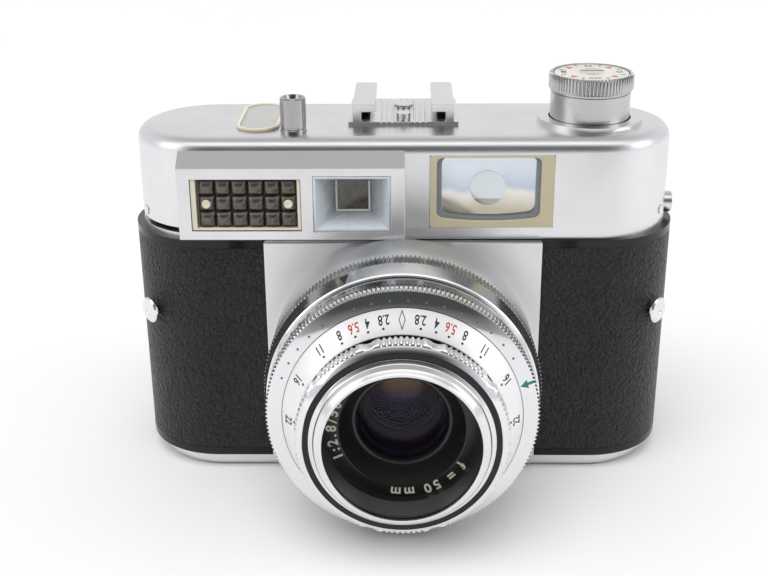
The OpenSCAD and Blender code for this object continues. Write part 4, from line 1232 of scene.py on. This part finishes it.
class CAMERA_OT_focus(Maker, bpy.types.Operator):
    """Focusing ring with its ribbed grips"""
    bl_idname = "camera_looks.focus"
    bl_label = "Focusing ring"

    def make(self, scene):
        settings = scene.camera_lens
        near = 37.2
        radius = (span("focus_ring")[1].x - span("focus_ring")[0].x) / 2 - 1.2
        outline = [(18.65, near - 2.8), (20.3, near - 2.8), (20.3, near - 0.1), (radius - 0.25, near - 0.1),
                   (radius, near + 0.1), (radius, near + 2.75), (radius - 0.2, near + 2.95),
                   (radius - 0.58, near + 3.0), (radius - 0.64, near + 3.04), (20.15, near + 3.9),
                   (20.0, near + 3.95), (20.0, near + 2.9), (18.65, near + 2.9)]
        ring = turned(outline, steps=settings.ribs * TOOTH_STEPS)
        for v in ring.verts:
            out = v.co.xy.length
            if out > (radius - 0.4) * MM:
                turn = math.atan2(v.co.y, v.co.x) / math.tau
                lobe = (turn * settings.lobes + 0.25 * settings.lobes) % 1
                flank = min(lobe, 1 - lobe)
                grip = 1 - min(max((flank - 0.36) / 0.12, 0.0), 1.0)
                grip = grip * grip * (3 - 2 * grip)
                rib = (turn % 1 * settings.ribs + 0.01) % 1 >= 0.5
                v.co.xy *= 1 - (0.5 * (1 - grip) + 0.4 * rib * (flank < 0.35)) * MM / out
        for face in ring.faces:
            face.material_index = int(face.calc_center_median().z > (near + 2.98) * MM)
        piece("focus_grips", ring, "front_cell", [ring_chrome(), mirror_chrome()], ("focus_ring",),
              crease=32, place=LENS_AXIS)


class CAMERA_OT_front(Maker, bpy.types.Operator):
    """Front bezel, name plate and the glass"""
    bl_idname = "camera_looks.front"
    bl_label = "Front cell"

    def make(self, scene):
        far = ahead("front_bezel")[1]
        band = turned([(17.2, 40.2), (19.9, 40.2), (19.9, 41.15), (18.8, 41.25), (18.7, 41.1), (17.2, 41.1)])
        piece("front_band", band, "front_cell", black_enamel(), place=LENS_AXIS)
        shell_line = [(15.9, far - 8.3), (17.2, far - 8.3), (17.2, 40.7), (18.7, 41.1), (18.7, 41.35), (18.5, 41.5),
                      (17.95, 41.7), (17.75, 41.95), (17.55, far - 0.9), (17.3, far - 0.6), (16.85, far - 0.3),
                      (16.55, far), (16.15, far), (15.95, far - 0.15), (15.9, far - 0.5)]
        piece("front_rim", turned(shell_line), "front_cell", ring_chrome(), ("front_bezel",),
              place=LENS_AXIS, crease=40)
        floor = far - 8.2
        well = [(15.88, far - 0.75), (15.75, far - 0.95)]
        for i in range(9):
            well += [(15.88, far - 1.3 - i * 0.6), (15.66, far - 1.6 - i * 0.6)]
        plate = well + [(15.8, floor + 0.3), (15.7, floor), (13.15, floor), (12.95, floor - 0.12), (12.8, floor - 0.5),
                        (12.4, floor - 1.0), (11.2, floor - 3.6), (10.7, floor - 4.3), (10.3, floor - 4.1),
                        (9.75, floor - 4.25), (9.45, floor - 4.7), (9.4, floor - 7.1), (12.3, floor - 7.3),
                        (15.88, floor - 1.5)]
        piece("name_plate", turned(plate), "front_cell", black_paint(), place=LENS_AXIS, crease=28)
        labels = [wrapped(words(text, 2.95, 0.03, 1.4, 0.08), 14.35, floor + 0.02, turn)
                  for text, turn in (("1:2.8/50", 180.5), ("f = 50 mm", -66.0))]
        piece("name_numbers", merged(*labels), "front_cell", ink("cream"), place=LENS_AXIS)
        self.glass()

    def glass(self):
        near, far = ahead("front_lens")
        dome = [(0, far), (2.4, far - 0.06), (4.8, far - 0.26), (7.0, far - 0.58), (8.6, far - 0.95), (9.35, far - 1.2),
                (9.35, near + 0.4), (7.0, near + 0.7), (4.0, near + 0.85), (0, near + 0.9)]
        piece("front_element", turned(dome, closed=False), "front_cell", front_glass(),
              ("front_lens",), place=LENS_AXIS, crease=30)
        deep = near - 9.5
        inner = [(0, deep + 1.5), (2.5, deep + 1.35), (5.0, deep + 0.9), (7.4, deep), (7.4, deep - 1.2),
                 (0, deep - 1.2)]
        piece("second_element", turned(inner, closed=False), "front_cell", coated_glass_painted_reflection(),
              place=LENS_AXIS, crease=30)
        tube = [(7.4, deep - 1.0), (7.4, deep + 0.5), (7.9, deep + 0.7), (8.0, deep + 2.0), (8.5, deep + 2.2),
                (8.7, near + 0.3), (12.0, near + 0.3), (12.0, deep - 1.0)]
        piece("inner_tube", turned(tube), "front_cell", black_matt(), place=LENS_AXIS, crease=30)


class CAMERA_OT_mechanism(Maker, bpy.types.Operator):
    """Finishes of the mechanism inside"""
    bl_idname = "camera_looks.mechanism"
    bl_label = "Mechanism"

    def make(self, scene):
        coat(black_matt(), "light_tunnel", "shutter_housing")
        coat(plate_steel(), "film_sprocket", "meter_movement")
        coat(black_plastic(), "takeup_spool", "pressure_plate")
        coat(needle_red(), "meter_needle")
        coat(ink("black"), "follow_pointer")
        coat(thread_brass(), "focus_thread")
        coat(coated_glass_painted_reflection(), "middle_lens", "rear_lens")
        coat(blade_steel(), *(f"iris_blade_{i}" for i in range(1, 6)), *(f"shutter_blade_{i}" for i in range(1, 4)))


class VIEW3D_PT_camera_looks(bpy.types.Panel):
    """Sizes, colours and the pieces in the order they are made"""
    bl_label = "Rangefinder Camera"
    bl_space_type = "VIEW_3D"
    bl_region_type = "UI"
    bl_category = "Camera"

    def draw(self, context):
        for settings in SETTINGS:
            group = getattr(context.scene, settings)
            box = self.layout.box()
            for name in group.__annotations__:
                box.prop(group, name)
        for maker in MAKERS:
            self.layout.operator(maker.bl_idname)


MAKERS = (CAMERA_OT_stage, CAMERA_OT_body, CAMERA_OT_back, CAMERA_OT_base, CAMERA_OT_cover, CAMERA_OT_meter,
          CAMERA_OT_finder, CAMERA_OT_controls, CAMERA_OT_knob, CAMERA_OT_rings, CAMERA_OT_depth, CAMERA_OT_focus,
          CAMERA_OT_front, CAMERA_OT_mechanism)
SETTINGS = {"camera_finish": FinishSettings, "camera_lens": LensSettings, "camera_top": TopSettings,
            "camera_stage": StageSettings}


def register():
    for cls in (*SETTINGS.values(), *MAKERS, VIEW3D_PT_camera_looks):
        bpy.utils.register_class(cls)
    for name, cls in SETTINGS.items():
        setattr(bpy.types.Scene, name, PointerProperty(type=cls))


def unregister():
    for name in SETTINGS:
        delattr(bpy.types.Scene, name)
    for cls in (VIEW3D_PT_camera_looks, *reversed(MAKERS), *SETTINGS.values()):
        bpy.utils.unregister_class(cls)


def main():
    register()
    for maker in MAKERS:
        group, name = maker.bl_idname.split(".")
        getattr(getattr(bpy.ops, group), name)()


if __name__ == "__main__":
    main()
